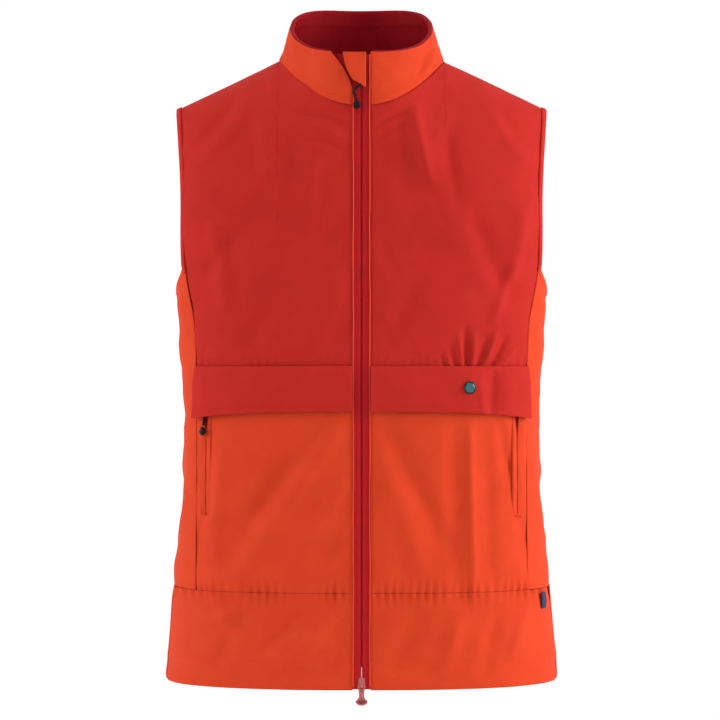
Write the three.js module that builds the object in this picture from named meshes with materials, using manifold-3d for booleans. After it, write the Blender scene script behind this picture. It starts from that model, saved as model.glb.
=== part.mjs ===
// A sleeveless zipped field vest, as it stands when worn: cloth panels, lining, stand collar,
// two-way front zip, storm flaps under the chest yoke and two zipped hand pockets.
// Millimetres, +Z up. The front faces -Y and +X is the wearer's left. The origin is the middle
// of the neck, level with the highest points of the shoulders.
import * as THREE from 'three';
import { mergeVertices } from 'three/addons/utils/BufferGeometryUtils.js';
import Module from 'manifold-3d';

const wasm = await Module();
wasm.setup();

// ---- Driving dimensions ----------------------------------------------------------------

// Body outline
const bodyLength = 687;          // shoulder level down to the hem edge
const chestHalf = 206;           // half widths at four levels
const waistHalf = 198.5;
const hemHalf = 219;
const upperHalf = 212;           // behind the armholes, where the cloth is cut away
const underarmDrop = 262;        // levels below the shoulders
const waistDrop = 430;
const upperDrop = 150;
const frontDepth = 92;           // front zip line in front of the neck middle, at shoulder level
const zipLean = 0.0655;          // the zip line comes forward this much per millimetre down
const backDepths = { hem: 122, waist: 104, underarm: 116, upper: 121, neck: 78 };
const squareness = { hem: 2.5, waist: 2.6, underarm: 2.8, upper: 3.2 };

// Shoulders, neck and armholes
const neckHalf = 92;
const neckFrontDrop = 56;
const neckBackDrop = 12;
const necklineBend = 2.2;
const shoulderHalf = 202;
const shoulderSlope = 0.472;
const ridgeRise = 0.0102;        // how fast the shoulder line would climb inside the neck
const shoulderRoll = 150;        // depth over which the front rolls over into the shoulder
const armholeMidHalf = 195;
const armholeSeamDrop = 235;     // where the side seams reach the armhole
const sideSeamHalf = 181;
const bindingRadius = 2.2;

// Cloth
const clothThickness = 1.2;
const liningThickness = 1.2;
const liningDepth = 10;          // lining's outer face, inside the shell's outer face
const seamGap = 0.6;
const sideSeamGap = 1;           // room at the side seams, which are curved
const fitGap = 0.3;

// Yoke, storm flap and hem
const yokeDrop = 340;
const flapDepth = 48;
const flapSideDip = 8;
const flapStandTop = 3.2;        // flap's inner face in front of the shell, top and free edge
const flapStandEdge = 5.6;
const hemBandDepth = 103;
const hemSlitAngle = 82;
const backHemStart = 83;

// Collar
const collarTopHalf = 79;
const collarTopDepth = 81;
const collarTopBack = 11;        // how far the top ring's middle sits in front of the origin
const collarBackRise = 63;
const collarRiseBend = 0.8;      // the front stays low, and the sides climb steeply
const collarStand = 1.5;         // seam between the neckline and the collar
const collarLayer = 1;
const collarLiningLayer = -4.4;
const collarOpening = 23;        // how far the wearer's right corner is turned back at the top
const openingDepth = 42;
const facingLayer = -2.8;
const facingFoot = 0.42;         // shares of the collar's height
const facingHead = 0.97;
const facingTuck = 2;

// Front zip, in its own frame: x across, n out of the cloth, s up along the zip
const tapeHalf = 10.5;
const tapeThickness = 0.6;
const tapeDepth = 3.2;
const coilHalf = 3;
const coilThickness = 1.8;
const chainGap = 1.8;            // between the two halves, where the slider's post runs
const pipingRadius = 0.7;
const pipingInset = 8.7;
const stopLength = 3;
const pinLength = 20;
const pinInset = 0.4;
const frontEdge = 9.8;           // cloth edge beside the piping

// Sliders and pulls
const sliderLength = 12;
const sliderHalf = 4.3;
const sliderNeckHalf = 3.4;
const sliderPlate = 1.4;
const sliderPost = 0.45;         // half width
const postReach = 3.5;           // the post stands between these distances from the wide end
const postSet = 1;
const bailLeg = 1;
const bailBar = 0.7;
const bailRise = 2.6;
const bailReach = 3.4;
const bailHalf = 1;
const upperSliderDrop = 30;
const lowerSliderLift = 8;
const pullPlate = 1.2;
const lowerPullLength = 21;
const pullRingHalf = 6.5;
const cordRadius = 1.2;
const knobRadius = 4.2;
const knobFlatness = 0.68;
const knobStretch = 1.15;
const loopHalfWidth = 2.6;       // wire loop of a cord pull
const loopWire = 1;
const loopHeight = 5;

// Zip garage over the top of the front zip
const garageLayer = 4.4;
const garageThickness = 1;
const garageRight = 4.8;
const garageLeft = -20.5;
const garageDrop = 38;

// Hand pockets
const pocketInset = 170;
const pocketTopDrop = 352;
const pocketLength = 150;
const slotHalf = 4.9;
const pocketSliderDrop = 14;
const bagHalf = 52;
const bagHeight = 150;
const bagDepth = 8.2;
const bagThickness = 0.8;

// Snap on the wearer's left flap
const snapInset = 115;
const snapDrop = 364;
const snapCapRadius = 7;
const snapCapHeight = 2.4;
const snapSocketRadius = 5.2;
const snapStudRadius = 1.8;
const snapPostRadius = 1.2;
const snapRim = 0.8;             // straight edge of the cap
const snapPlay = 0.8;            // room between the flap and the metal on both its sides
const socketHeight = 1.2;
const socketWall = 0.6;          // room round the stud
const studFoot = 0.3;

// Small sewn pieces
const tabWidth = 10;
const tabHeight = 18;
const tabAngle = 72;
const tabDrop = 13;              // its middle below the hem seam
const tabStand = 1.6;
const tabThickness = 0.8;
const loopHalf = 26;
const loopRise = 16;
const loopWidth = 7;
const loopThickness = 1.2;
const loopFlat = 10;             // half the loop's flat top
const loopInset = 22;            // how far the loop stands in front of the back neck
const labelSpread = 0.32;        // half the neck label's angle, in radians
const labelFoot = 0.05;          // shares of the collar's height
const labelHead = 0.37;
const labelStand = 2.4;
const labelThickness = 0.6;

// ---- Materials -------------------------------------------------------------------------

const finish = (color, roughness, metalness = 0) => ({ color, roughness, metalness });
const finishes = {
  shell: finish(0xe24a30, 0.75),
  yoke: finish(0xbb2f2c, 0.75),
  lining: finish(0x82101c, 0.7),
  piping: finish(0xf0633c, 0.6),
  tape: finish(0xb92328, 0.7),
  coil: finish(0xa01a22, 0.45),
  metal: finish(0xb86a72, 0.35, 0.9),
  black: finish(0x15171a, 0.55),
  snap: finish(0x1d5c5e, 0.35, 0.4),
  label: finish(0x1c2340, 0.8),
};

const vest = new THREE.Group();

function add(name, geometry, kind, parent = vest) {
  const mesh = new THREE.Mesh(geometry, new THREE.MeshStandardMaterial(finishes[kind]));
  mesh.name = name;
  mesh.userData.kind = kind;
  parent.add(mesh);
  return mesh;
}

// ---- Geometry helpers ------------------------------------------------------------------

const { lerp, clamp, degToRad, smoothstep } = THREE.MathUtils;
const vec = (x, y, z) => new THREE.Vector3(x, y, z);

function signedVolume(geometry) {
  const place = geometry.attributes.position;
  const corner = [vec(), vec(), vec()];
  let sum = 0;
  for (let i = 0; i < geometry.index.count; i += 3) {
    corner.forEach((c, k) => c.fromBufferAttribute(place, geometry.index.getX(i + k)));
    sum += corner[0].dot(corner[1].clone().cross(corner[2])) / 6;
  }
  return sum;
}

function closed(geometry) {
  geometry.deleteAttribute('normal');
  geometry.deleteAttribute('uv');
  const merged = mergeVertices(geometry, 1e-4);
  if (signedVolume(merged) < 0) {
    const index = merged.index.array;
    for (let i = 0; i < index.length; i += 3) {
      [index[i + 1], index[i + 2]] = [index[i + 2], index[i + 1]];
    }
  }
  merged.computeVertexNormals();
  return merged;
}

const mirrored = (geometry) => closed(geometry.clone().scale(-1, 1, 1));

// A box bent into place: u runs across, v up and w through its thickness, each 0 to 1.
function bent(across, up, place, through = 1) {
  const box = new THREE.BoxGeometry(1, 1, 1, across, up, through);
  const corner = box.attributes.position;
  for (let i = 0; i < corner.count; i++) {
    const p = place(corner.getX(i) + 0.5, corner.getY(i) + 0.5, corner.getZ(i) + 0.5);
    corner.setXYZ(i, p.x, p.y, p.z);
  }
  return closed(box);
}

function toSolid(geometry) {
  const clean = closed(geometry);
  return new wasm.Manifold(new wasm.Mesh({
    numProp: 3,
    vertProperties: new Float32Array(clean.attributes.position.array),
    triVerts: new Uint32Array(clean.index.array),
  }));
}

function fromSolid(solid) {
  const mesh = solid.getMesh();
  const geometry = new THREE.BufferGeometry();
  geometry.setAttribute('position', new THREE.BufferAttribute(mesh.vertProperties, 3));
  geometry.setIndex(new THREE.BufferAttribute(mesh.triVerts, 1));
  geometry.computeVertexNormals();
  return geometry;
}

const joined = (...parts) => fromSolid(parts.map(toSolid).reduce((a, b) => a.add(b)));

function cut(body, ...tools) {
  return fromSolid(tools.map(toSolid).reduce((a, b) => a.subtract(b), toSolid(body)));
}

// A smooth curve through [position, value] pairs in rising order.
function profile(points) {
  const slope = points.map((_, i) => {
    const a = points[Math.max(i - 1, 0)];
    const b = points[Math.min(i + 1, points.length - 1)];
    return (b[1] - a[1]) / (b[0] - a[0]);
  });
  return (at) => {
    const t = clamp(at, points[0][0], points.at(-1)[0]);
    const i = clamp(points.findIndex((p) => p[0] > t) - 1, 0, points.length - 2);
    const k = t >= points.at(-1)[0] ? points.length - 2 : i;
    const [[a, va], [b, vb]] = [points[k], points[k + 1]];
    const f = (t - a) / (b - a);
    const ease = f * f * (3 - 2 * f);
    const bendA = f * (1 - f) ** 2 * (b - a) * slope[k];
    const bendB = f * f * (1 - f) * (b - a) * slope[k + 1];
    return lerp(va, vb, ease) + bendA - bendB;
  };
}

// ---- The vest's outer surface ----------------------------------------------------------

const hemZ = -bodyLength;
const underarmZ = -underarmDrop;
const seamTopZ = -armholeSeamDrop;

const halfWidth = profile([
  [hemZ, hemHalf], [-waistDrop, waistHalf], [underarmZ, chestHalf],
  [-upperDrop, upperHalf], [0, chestHalf + 2],
]);
const power = profile([
  [hemZ, squareness.hem], [-waistDrop, squareness.waist], [underarmZ, squareness.underarm],
  [-upperDrop, squareness.upper],
]);
const backDepth = profile([
  [hemZ, backDepths.hem], [-waistDrop, backDepths.waist], [underarmZ, backDepths.underarm],
  [-upperDrop, backDepths.upper], [-neckBackDrop, backDepths.neck],
]);
const depthAt = (side, z) => (side < 0 ? frontDepth - zipLean * z : backDepth(z));

// The shoulder line's height, carried on inside the neck as a steeper curve.
function ridge(x) {
  const inside = Math.max(neckHalf - Math.abs(x), 0);
  return shoulderSlope * (neckHalf - Math.abs(x)) + ridgeRise * inside * inside;
}

// Distance run down over the shoulder, for a drop below the ridge, and back again.
const rollLength = (shoulderRoll * Math.PI) / 2;
const runAt = (drop) => (drop < shoulderRoll
  ? shoulderRoll * Math.acos(1 - Math.max(drop, 0) / shoulderRoll)
  : rollLength + drop - shoulderRoll);
const dropAt = (run) => (run < rollLength
  ? shoulderRoll * (1 - Math.cos(run / shoulderRoll))
  : shoulderRoll + run - rollLength);
const rollAt = (run) => (run < rollLength ? Math.sin(run / shoulderRoll) : 1);

// side -1 is the front and +1 the back.
function torso(side, x, run) {
  const z = ridge(x) - dropAt(run);
  const n = power(z);
  const share = clamp(Math.abs(x) / halfWidth(z), 0, 0.999);
  return vec(x, side * depthAt(side, z) * (1 - share ** n) ** (1 / n) * rollAt(run), z);
}

function torsoNormal(side, x, run) {
  const step = 0.5;
  const across = torso(side, x + step, run).sub(torso(side, x - step, run));
  const down = torso(side, x, run + step).sub(torso(side, x, Math.max(run - step, 0)));
  return down.cross(across).multiplyScalar(-side).normalize();
}

const onTorso = (side, x, run, out) => torso(side, x, run).addScaledVector(torsoNormal(side, x, run), out);
const torsoAt = (side, x, z, out) => onTorso(side, x, runAt(ridge(x) - z), out);

// Below the armholes the vest is a tube: angle 0 is the front and 180 the back.
function tube(angle, z) {
  const [sin, cos] = [Math.sin(angle), Math.cos(angle)];
  const depth = depthAt(cos > 0 ? -1 : 1, z);
  const n = power(z);
  const radius = (Math.abs(sin / halfWidth(z)) ** n + Math.abs(cos / depth) ** n) ** (-1 / n);
  return vec(radius * sin, -radius * cos, z);
}

function onTube(angle, z, out) {
  const step = 0.01;
  const across = tube(angle + step, z).sub(tube(angle - step, z));
  const up = tube(angle, z + 1).sub(tube(angle, z - 1));
  return tube(angle, z).addScaledVector(across.cross(up).normalize(), out);
}

const angleAt = (side, x, z) => {
  const p = torsoAt(side, x, z, 0);
  return Math.atan2(p.x, -p.y);
};

// ---- Seams and edges -------------------------------------------------------------------

const armhole = profile([
  [-waistDrop, sideSeamHalf], [-armholeSeamDrop - 65, sideSeamHalf + 2], [seamTopZ, armholeMidHalf - 1],
  [-143, armholeMidHalf], [-neckFrontDrop, shoulderHalf],
]);
const frontNeckline = (x) => -neckFrontDrop * (1 - Math.min(Math.abs(x) / neckHalf, 1) ** necklineBend);
const backNeckline = (x) => -neckBackDrop * (1 - Math.min(Math.abs(x) / neckHalf, 1) ** necklineBend);
const necklineAt = (side, x) => (side < 0 ? frontNeckline(x) : backNeckline(x));

function topRun(side, x) {
  const onNeck = Math.abs(x) < neckHalf;
  return (onNeck ? runAt(ridge(x) - necklineAt(side, x)) : 0) + seamGap / 2;
}

// The value at u along a row of [share, value] stops.
function through(stops, u) {
  const i = clamp(stops.findIndex(([share]) => share >= u), 1, stops.length - 1);
  const [[a, va], [b, vb]] = [stops[i - 1], stops[i]];
  return lerp(va, vb, (u - a) / (b - a));
}

// A panel of the torso from a level up to the neckline and shoulder. Its columns run between
// the stops, one of which is the neck point, where the shoulder line starts.
function upperPanel({ side, stops, bottom, out, thickness, across, up, crowd = 1.4 }) {
  return bent(across, up, (u, v, w) => {
    let x = through(stops(bottom), u);
    let run = 0;
    for (let pass = 0; pass < 4; pass++) {
      const low = runAt(ridge(x) - bottom);
      run = lerp(topRun(side, x), low, (1 - v) ** crowd);
      x = through(stops(ridge(x) - dropAt(run)), u);
    }
    return onTorso(side, x, run, out + w * thickness);
  });
}

const frontColumns = 7;
const frontNeckShare = 3 / frontColumns;
const frontStops = (inner, edgeGap) => (z) => [
  [0, inner], [frontNeckShare, neckHalf], [1, armhole(z) - edgeGap],
];
const backColumns = 14;
const backNeckShare = 4 / backColumns;
const backStops = (edgeGap) => (z) => [
  [0, edgeGap - armhole(z)], [backNeckShare, -neckHalf],
  [1 - backNeckShare, neckHalf], [1, armhole(z) - edgeGap],
];

// A panel of the tube below the armholes, between two angles and two levels.
function tubePanel({ from, to, bottom, top, out, thickness, across, up }) {
  return bent(across, up, (u, v, w) => {
    const z = lerp(bottom(u), top(u), v);
    return onTube(lerp(from(z), to(z), u), z, out + w * thickness);
  });
}

const frontSeamAngle = (z) => angleAt(-1, armhole(z) + seamGap, z);
const backSeamAngle = (z) => angleAt(1, armhole(z) + seamGap, z);
const shellOut = -clothThickness;
const liningOut = -liningDepth - liningThickness;
const yokeBottomZ = -yokeDrop;
const hemSeamZ = hemZ + hemBandDepth;

// ---- Front and back of the shell -------------------------------------------------------

function addPair(name, geometry, kind) {
  add(`${name}_left`, geometry, kind);
  add(`${name}_right`, mirrored(geometry), kind);
}

function addUpperShell() {
  const shared = { bottom: yokeBottomZ, out: shellOut, thickness: clothThickness };
  const frontYoke = upperPanel({
    ...shared, side: -1, stops: frontStops(frontEdge, sideSeamGap), across: frontColumns, up: 12,
  });
  addPair('front_yoke', frontYoke, 'yoke');
  const backYoke = upperPanel({
    ...shared, side: 1, stops: backStops(sideSeamGap), across: backColumns, up: 10,
  });
  add('back_yoke', backYoke, 'yoke');
}

const level = (z) => () => z;
const zipAngle = (z) => angleAt(-1, frontEdge, z);
const seamTurn = 0.004;

const frontSideAngle = (z) => frontSeamAngle(z) - seamTurn;
const backSideAngle = (z) => backSeamAngle(z) + seamTurn;

function addLowerShell() {
  const shared = {
    bottom: level(hemSeamZ + seamGap), top: level(yokeBottomZ - seamGap),
    out: shellOut, thickness: clothThickness, up: 5,
  };
  const front = tubePanel({ ...shared, from: zipAngle, to: frontSideAngle, across: 7 });
  const slot = slotGeometry().applyMatrix4(pocketFrame().matrix);
  addPair('front_panel', cut(front, slot), 'shell');
  const back = tubePanel({
    ...shared, from: backSideAngle, to: (z) => 2 * Math.PI - backSideAngle(z), across: 14,
  });
  add('back_panel', back, 'shell');
}

// The underarm edge dips between the two side seams.
const underarmEdge = (u) => underarmZ + (underarmDrop - armholeSeamDrop) * (2 * u - 1) ** 2;

function sidePanel(bottom, out, thickness, across, up) {
  return tubePanel({
    from: frontSeamAngle, to: backSeamAngle, bottom: level(bottom), top: underarmEdge,
    out, thickness, across, up,
  });
}

function addHemBands() {
  const slit = degToRad(hemSlitAngle);
  const backSlit = degToRad(backHemStart);
  const shared = {
    bottom: level(hemZ), top: level(hemSeamZ), out: shellOut, thickness: clothThickness, up: 2,
  };
  const front = tubePanel({ ...shared, from: zipAngle, to: level(slit), across: 10 });
  addPair('front_hem_band', front, 'shell');
  const back = tubePanel({
    ...shared, from: level(backSlit), to: level(2 * Math.PI - backSlit), across: 20,
  });
  add('back_hem_band', back, 'shell');
}

// ---- Lining ----------------------------------------------------------------------------

const liningEdge = 14;
const liningHemZ = hemZ + 24;

function addLining() {
  const shared = { bottom: liningHemZ, out: liningOut, thickness: liningThickness, up: 14 };
  const front = upperPanel({
    ...shared, side: -1, stops: frontStops(liningEdge, sideSeamGap), across: frontColumns,
  });
  const back = upperPanel({
    ...shared, side: 1, stops: backStops(sideSeamGap), across: backColumns,
  });
  addPair('front_lining', front, 'lining');
  add('back_lining', back, 'lining');
  addPair('side_lining', sidePanel(liningHemZ, liningOut, liningThickness, 4, 5), 'lining');
}

// ---- Storm flaps -----------------------------------------------------------------------

const flapTopZ = yokeBottomZ - 2;
const flapEdge = (u) => flapTopZ - flapDepth - flapSideDip * u ** 4;

function flapGeometry() {
  return bent(8, 3, (u, v, w) => {
    const z = lerp(flapEdge(u), flapTopZ, v);
    const angle = lerp(zipAngle(z), frontSideAngle(z), u);
    return onTube(angle, z, lerp(flapStandEdge, flapStandTop, v) + w * clothThickness);
  });
}

// ---- Collar ----------------------------------------------------------------------------

const turn = Math.PI / 2;

function collarBase(angle) {
  const side = Math.cos(angle) > 0 ? -1 : 1;
  const x = neckHalf * Math.sin(angle);
  return torsoAt(side, x, necklineAt(side, x), 0);
}

function collarTop(angle) {
  const rise = collarBackRise * smoothstep((1 - Math.cos(angle)) / 2, 0, 1) ** collarRiseBend;
  return vec(collarTopHalf * Math.sin(angle), -collarTopBack - collarTopDepth * Math.cos(angle), rise);
}

function collarPoint(angle, v, out) {
  const base = collarBase(angle);
  const top = collarTop(angle);
  const seam = collarStand / top.distanceTo(base);
  const outward = vec(Math.sin(angle), -Math.cos(angle), 0);
  return base.lerp(top, lerp(seam, 1, v)).addScaledVector(outward, out);
}

// The angle of a front edge that stands this far from the zip line. The wearer's right edge
// leaves the zip towards the top, where that corner is turned back.
const ringHalf = (v) => lerp(neckHalf, collarTopHalf, v);
const turnedBack = (v) => collarOpening * clamp(1 - (neckFrontDrop * (1 - v)) / openingDepth, 0, 1) ** 1.5;
const collarEnd = (inset, v, opened) => Math.asin((inset + (opened ? turnedBack(v) : 0)) / ringHalf(v));

function collarShell(inset, out, thickness, top = 1) {
  return bent(26, 3, (u, v, w) => {
    const left = collarEnd(inset, v, false);
    const right = 2 * Math.PI - collarEnd(inset, v, true);
    return collarPoint(lerp(left, right, u), v * top, out + w * thickness);
  });
}

function addCollar() {
  add('collar', collarShell(frontEdge, collarLayer - clothThickness, clothThickness), 'shell');
  add('collar_lining', collarShell(liningEdge, collarLiningLayer, liningThickness, 0.98), 'lining');
  // The facing fills the space between the turned-back corner and the zip tape.
  const facing = bent(2, 4, (u, v, w) => {
    const height = lerp(facingFoot, facingHead, v);
    const near = collarEnd(tapeHalf + seamGap, height, false);
    const far = collarEnd(frontEdge + facingTuck, height, true);
    return collarPoint(-lerp(near, far, u), height, facingLayer + w * tapeThickness);
  });
  add('collar_facing', facing, 'lining');
}

// ---- Zip frame and chain ---------------------------------------------------------------

const zipFrame = new THREE.Group();
zipFrame.position.set(0, -frontDepth, 0);
zipFrame.rotation.x = -Math.atan(zipLean);
zipFrame.updateMatrixWorld(true);
vest.add(zipFrame);

const alongZip = (z) => z * Math.hypot(1, zipLean);
function zipPoint(x, z, out) {
  return vec(x, -out, alongZip(z)).applyMatrix4(zipFrame.matrixWorld);
}

// A flat outline in the x and s directions, given thickness outward from n.
function plate(shape, n, thickness, steps = 6) {
  const options = { depth: thickness, bevelEnabled: false, curveSegments: steps };
  return new THREE.ExtrudeGeometry(shape, options).rotateX(turn).translate(0, -n, 0);
}

function block(x0, x1, n0, n1, s0, s1) {
  const box = new THREE.BoxGeometry(x1 - x0, n1 - n0, s1 - s0);
  return box.translate((x0 + x1) / 2, -(n0 + n1) / 2, (s0 + s1) / 2);
}

const coilOut = -tapeDepth - 0.2 - coilThickness;

function strip(side, a, b, n, thickness, low, high) {
  return block(Math.min(side * a, side * b), Math.max(side * a, side * b), n, n + thickness, low, high);
}

const halves = [[1, 'left'], [-1, 'right']];
const chainInner = chainGap / 2;

// Each half of the front chain: tape, coil, top stop and the pin at the foot.
function addChain(low, high, pinLow) {
  const coilLow = pinLow + pinLength + fitGap;
  const stopLow = high - stopLength;
  for (const [side, name] of halves) {
    const piece = (label, outer, n, thickness, from, to, kind) => {
      const shape = closed(strip(side, chainInner, outer, n, thickness, from, to));
      add(`zip_${label}_${name}`, shape, kind, zipFrame);
    };
    piece('tape', tapeHalf, -tapeDepth, tapeThickness, low, high, 'tape');
    piece('coil', coilHalf, coilOut, coilThickness, coilLow, stopLow - fitGap, 'coil');
    piece('stop', coilHalf, coilOut, coilThickness, stopLow, high, 'metal');
    const pinOut = coilOut + pinInset / 2;
    const pinHigh = pinLow + pinLength;
    piece('pin', coilHalf - pinInset, pinOut, coilThickness - pinInset, pinLow, pinHigh, 'metal');
  }
}

// A pocket's chain is lighter: coil and tape of each half are one piece.
function addPocketChain(frame, end) {
  for (const [side, name] of halves) {
    const tape = strip(side, chainInner, tapeHalf, -tapeDepth, tapeThickness, -end, end);
    const coil = strip(side, chainInner, coilHalf, coilOut, coilThickness + 0.3, -end, end);
    add(`pocket_zip_${side > 0 ? 'outer' : 'inner'}_half`, joined(tape, coil), 'tape', frame);
  }
}

const sliderTop = -tapeDepth + tapeThickness + fitGap + sliderPlate;
const sliderBottom = coilOut - 0.4;

function sliderOutline(wideUp) {
  const half = sliderLength / 2;
  const [top, bottom] = wideUp ? [sliderHalf, sliderNeckHalf] : [sliderNeckHalf, sliderHalf];
  const shape = new THREE.Shape();
  shape.moveTo(-bottom, -half + 1);
  shape.quadraticCurveTo(-bottom, -half, -bottom + 1, -half);
  shape.lineTo(bottom - 1, -half);
  shape.quadraticCurveTo(bottom, -half, bottom, -half + 1);
  shape.lineTo(top, half - 2);
  shape.quadraticCurveTo(top, half, 0, half);
  shape.quadraticCurveTo(-top, half, -top, half - 2);
  return shape;
}

// The bail is a small bridge on the front plate, with a window that the pull's bar runs through.
function bail(from, to) {
  const base = sliderTop - 0.2;
  const top = sliderTop + bailRise;
  return joined(
    block(-bailHalf, bailHalf, base, top, from, from + bailLeg),
    block(-bailHalf, bailHalf, base, top, to - bailLeg, to),
    block(-bailHalf, bailHalf, top - bailBar, top, from, to),
  );
}

function sliderGeometry(wideUp, bailFrom, bailTo) {
  const outline = sliderOutline(wideUp);
  const half = sliderLength / 2;
  const postLow = wideUp ? half - postReach : postSet - half;
  const postHigh = wideUp ? half - postSet : postReach - half;
  const [postIn, postOut] = [sliderBottom - 0.2, sliderTop - sliderPlate + 0.2];
  return joined(
    plate(outline, sliderTop - sliderPlate, sliderPlate),
    plate(outline, sliderBottom - sliderPlate, sliderPlate),
    block(-sliderPost, sliderPost, postIn, postOut, postLow, postHigh),
    bail(bailFrom, bailTo),
  );
}

const barDepth = sliderTop + 0.95;

// A flat pull whose top bar runs through the bail; its middle is at the origin.
function lowerPullGeometry() {
  const shape = new THREE.Shape();
  const neck = 3.9;
  const waist = 3.5;
  const ringTop = -13.4;
  const ringMiddle = (ringTop - lowerPullLength) / 2 + 0.1;
  const ringHoleHalf = pullRingHalf - 1.3;
  const ringHoleRise = (lowerPullLength + ringTop) / 2 - 1.1;
  shape.moveTo(-neck, 0.5);
  shape.lineTo(-waist, ringTop + 2);
  shape.quadraticCurveTo(-pullRingHalf, ringTop - 1, -pullRingHalf, ringTop - 3.6);
  shape.quadraticCurveTo(-pullRingHalf, -lowerPullLength, 0, -lowerPullLength);
  shape.quadraticCurveTo(pullRingHalf, -lowerPullLength, pullRingHalf, ringTop - 3.6);
  shape.quadraticCurveTo(pullRingHalf, ringTop - 1, waist, ringTop + 2);
  shape.lineTo(neck, 0.5);
  const eye = new THREE.Path();
  eye.absellipse(0, -2.9, 2.7, 2.4, 0, 2 * Math.PI);
  const ring = new THREE.Path();
  ring.absellipse(0, ringMiddle, ringHoleHalf, ringHoleRise, 0, 2 * Math.PI);
  shape.holes.push(eye, ring);
  return plate(shape, -pullPlate / 2, pullPlate, 5);
}

// A small wire loop for a cord pull.
function wireLoop(height) {
  const outer = loopHalfWidth;
  const wire = loopWire;
  const shape = new THREE.Shape();
  shape.moveTo(-outer, wire / 2);
  shape.lineTo(-outer, -height);
  shape.lineTo(outer, -height);
  shape.lineTo(outer, wire / 2);
  const hole = new THREE.Path();
  hole.moveTo(wire - outer, -wire / 2);
  hole.lineTo(outer - wire, -wire / 2);
  hole.lineTo(outer - wire, wire - height);
  hole.lineTo(wire - outer, wire - height);
  shape.holes.push(hole);
  return plate(shape, -wire / 2, wire);
}

function cordAlong(points, radius = cordRadius) {
  const section = new THREE.Shape();
  section.absarc(0, 0, radius, 0, 2 * Math.PI);
  const path = new THREE.CatmullRomCurve3(points.map(([x, n, s]) => vec(x, -n, s)));
  const steps = points.length * 2;
  const options = { steps, extrudePath: path, curveSegments: 4, bevelEnabled: false };
  return new THREE.ExtrudeGeometry(section, options);
}

// A cord end of this size, flattened towards the cloth, with its middle at x, n, s.
function knobGeometry(radius, [x, n, s]) {
  return new THREE.SphereGeometry(radius, 10, 6).scale(1, knobFlatness, knobStretch).translate(x, -n, s);
}

function at(parent, x, n, s) {
  const group = new THREE.Group();
  group.position.set(x, -n, s);
  parent.add(group);
  return group;
}

// ---- Front zip -------------------------------------------------------------------------

const zipTopZ = -2;
// Cord routes run from the wire loop: across, outward and along.
const cordStart = 1.9 - loopHeight;
const upperCordRoute = [
  [-1, 2.3, cordStart], [-4, 2.3, -6], [-7.4, 2.4, -9], [-7.6, 2.9, -14], [-6, 3.6, -20],
];
const upperKnobPlace = [-5, 4.4, -26];
const upperSliderS = alongZip(-upperSliderDrop);
const lowerSliderS = alongZip(hemZ + lowerSliderLift);

function addFrontZip() {
  addChain(alongZip(hemZ + 1), alongZip(zipTopZ), alongZip(hemZ + 2));
  const upper = at(zipFrame, 0, 0, upperSliderS);
  add('upper_slider', closed(sliderGeometry(true, -bailReach, bailReach)), 'metal', upper);
  const upperPull = at(upper, 0, barDepth, -bailReach + 1.9);
  add('upper_pull_loop', closed(wireLoop(loopHeight)), 'metal', upperPull);
  add('upper_pull_cord', closed(cordAlong(upperCordRoute)), 'black', upperPull);
  add('upper_pull_knob', closed(knobGeometry(knobRadius, upperKnobPlace)), 'black', upperPull);
  const lower = at(zipFrame, 0, 0, lowerSliderS);
  add('lower_slider', closed(sliderGeometry(false, -bailReach - 1.6, bailReach - 2)), 'metal', lower);
  const lowerPull = at(lower, 0, barDepth, -bailReach + 0.3);
  add('lower_pull', closed(lowerPullGeometry()), 'metal', lowerPull);
}

function addPiping() {
  const line = (side, low, high) => {
    const section = new THREE.Shape();
    section.absarc(0, 0, pipingRadius, 0, 2 * Math.PI);
    const ends = [low, high].map((z) => vec(side * pipingInset, pipingRadius, alongZip(z)));
    const extrudePath = new THREE.LineCurve3(...ends);
    const options = { steps: 1, extrudePath, curveSegments: 3, bevelEnabled: false };
    return new THREE.ExtrudeGeometry(section, options);
  };
  add('front_piping_left', closed(line(1, hemZ + 3, zipTopZ)), 'piping', zipFrame);
  add('front_piping_right', closed(line(-1, hemZ + 3, -openingDepth - 4)), 'piping', zipFrame);
}

// The garage is a tapering flap hinged at its straight right edge.
function addGarage() {
  const hinge = at(zipFrame, garageRight, 0, 0);
  const shape = new THREE.Shape();
  const left = garageLeft - garageRight;
  shape.moveTo(0, 0);
  shape.lineTo(left, 0);
  shape.quadraticCurveTo(left + 3, -24, left + 13, -31);
  shape.lineTo(-2, -garageDrop);
  shape.lineTo(0, -garageDrop);
  add('zip_garage', closed(plate(shape, garageLayer, garageThickness, 4)), 'shell', hinge);
}

// ---- Hand pockets ----------------------------------------------------------------------

// The frame stands on the shell at the middle of the pocket's slot, its Z along the slot.
function pocketFrame() {
  const top = torsoAt(-1, pocketInset, -pocketTopDrop, 0);
  const bottom = torsoAt(-1, pocketInset, -pocketTopDrop - pocketLength, 0);
  const up = top.clone().sub(bottom).normalize();
  const z = (top.z + bottom.z) / 2;
  const out = torsoNormal(-1, pocketInset, runAt(ridge(pocketInset) - z));
  const across = up.clone().cross(out).normalize();
  const inward = up.clone().cross(across).normalize();
  const frame = new THREE.Group();
  frame.matrix.makeBasis(across, inward, up).setPosition(torsoAt(-1, pocketInset, z, 0));
  frame.matrix.decompose(frame.position, frame.quaternion, frame.scale);
  return frame;
}

const slotGeometry = () => block(-slotHalf, slotHalf, -12, 12, -pocketLength / 2, pocketLength / 2);
const pocketChainEnd = pocketLength / 2 + 4;

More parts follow.
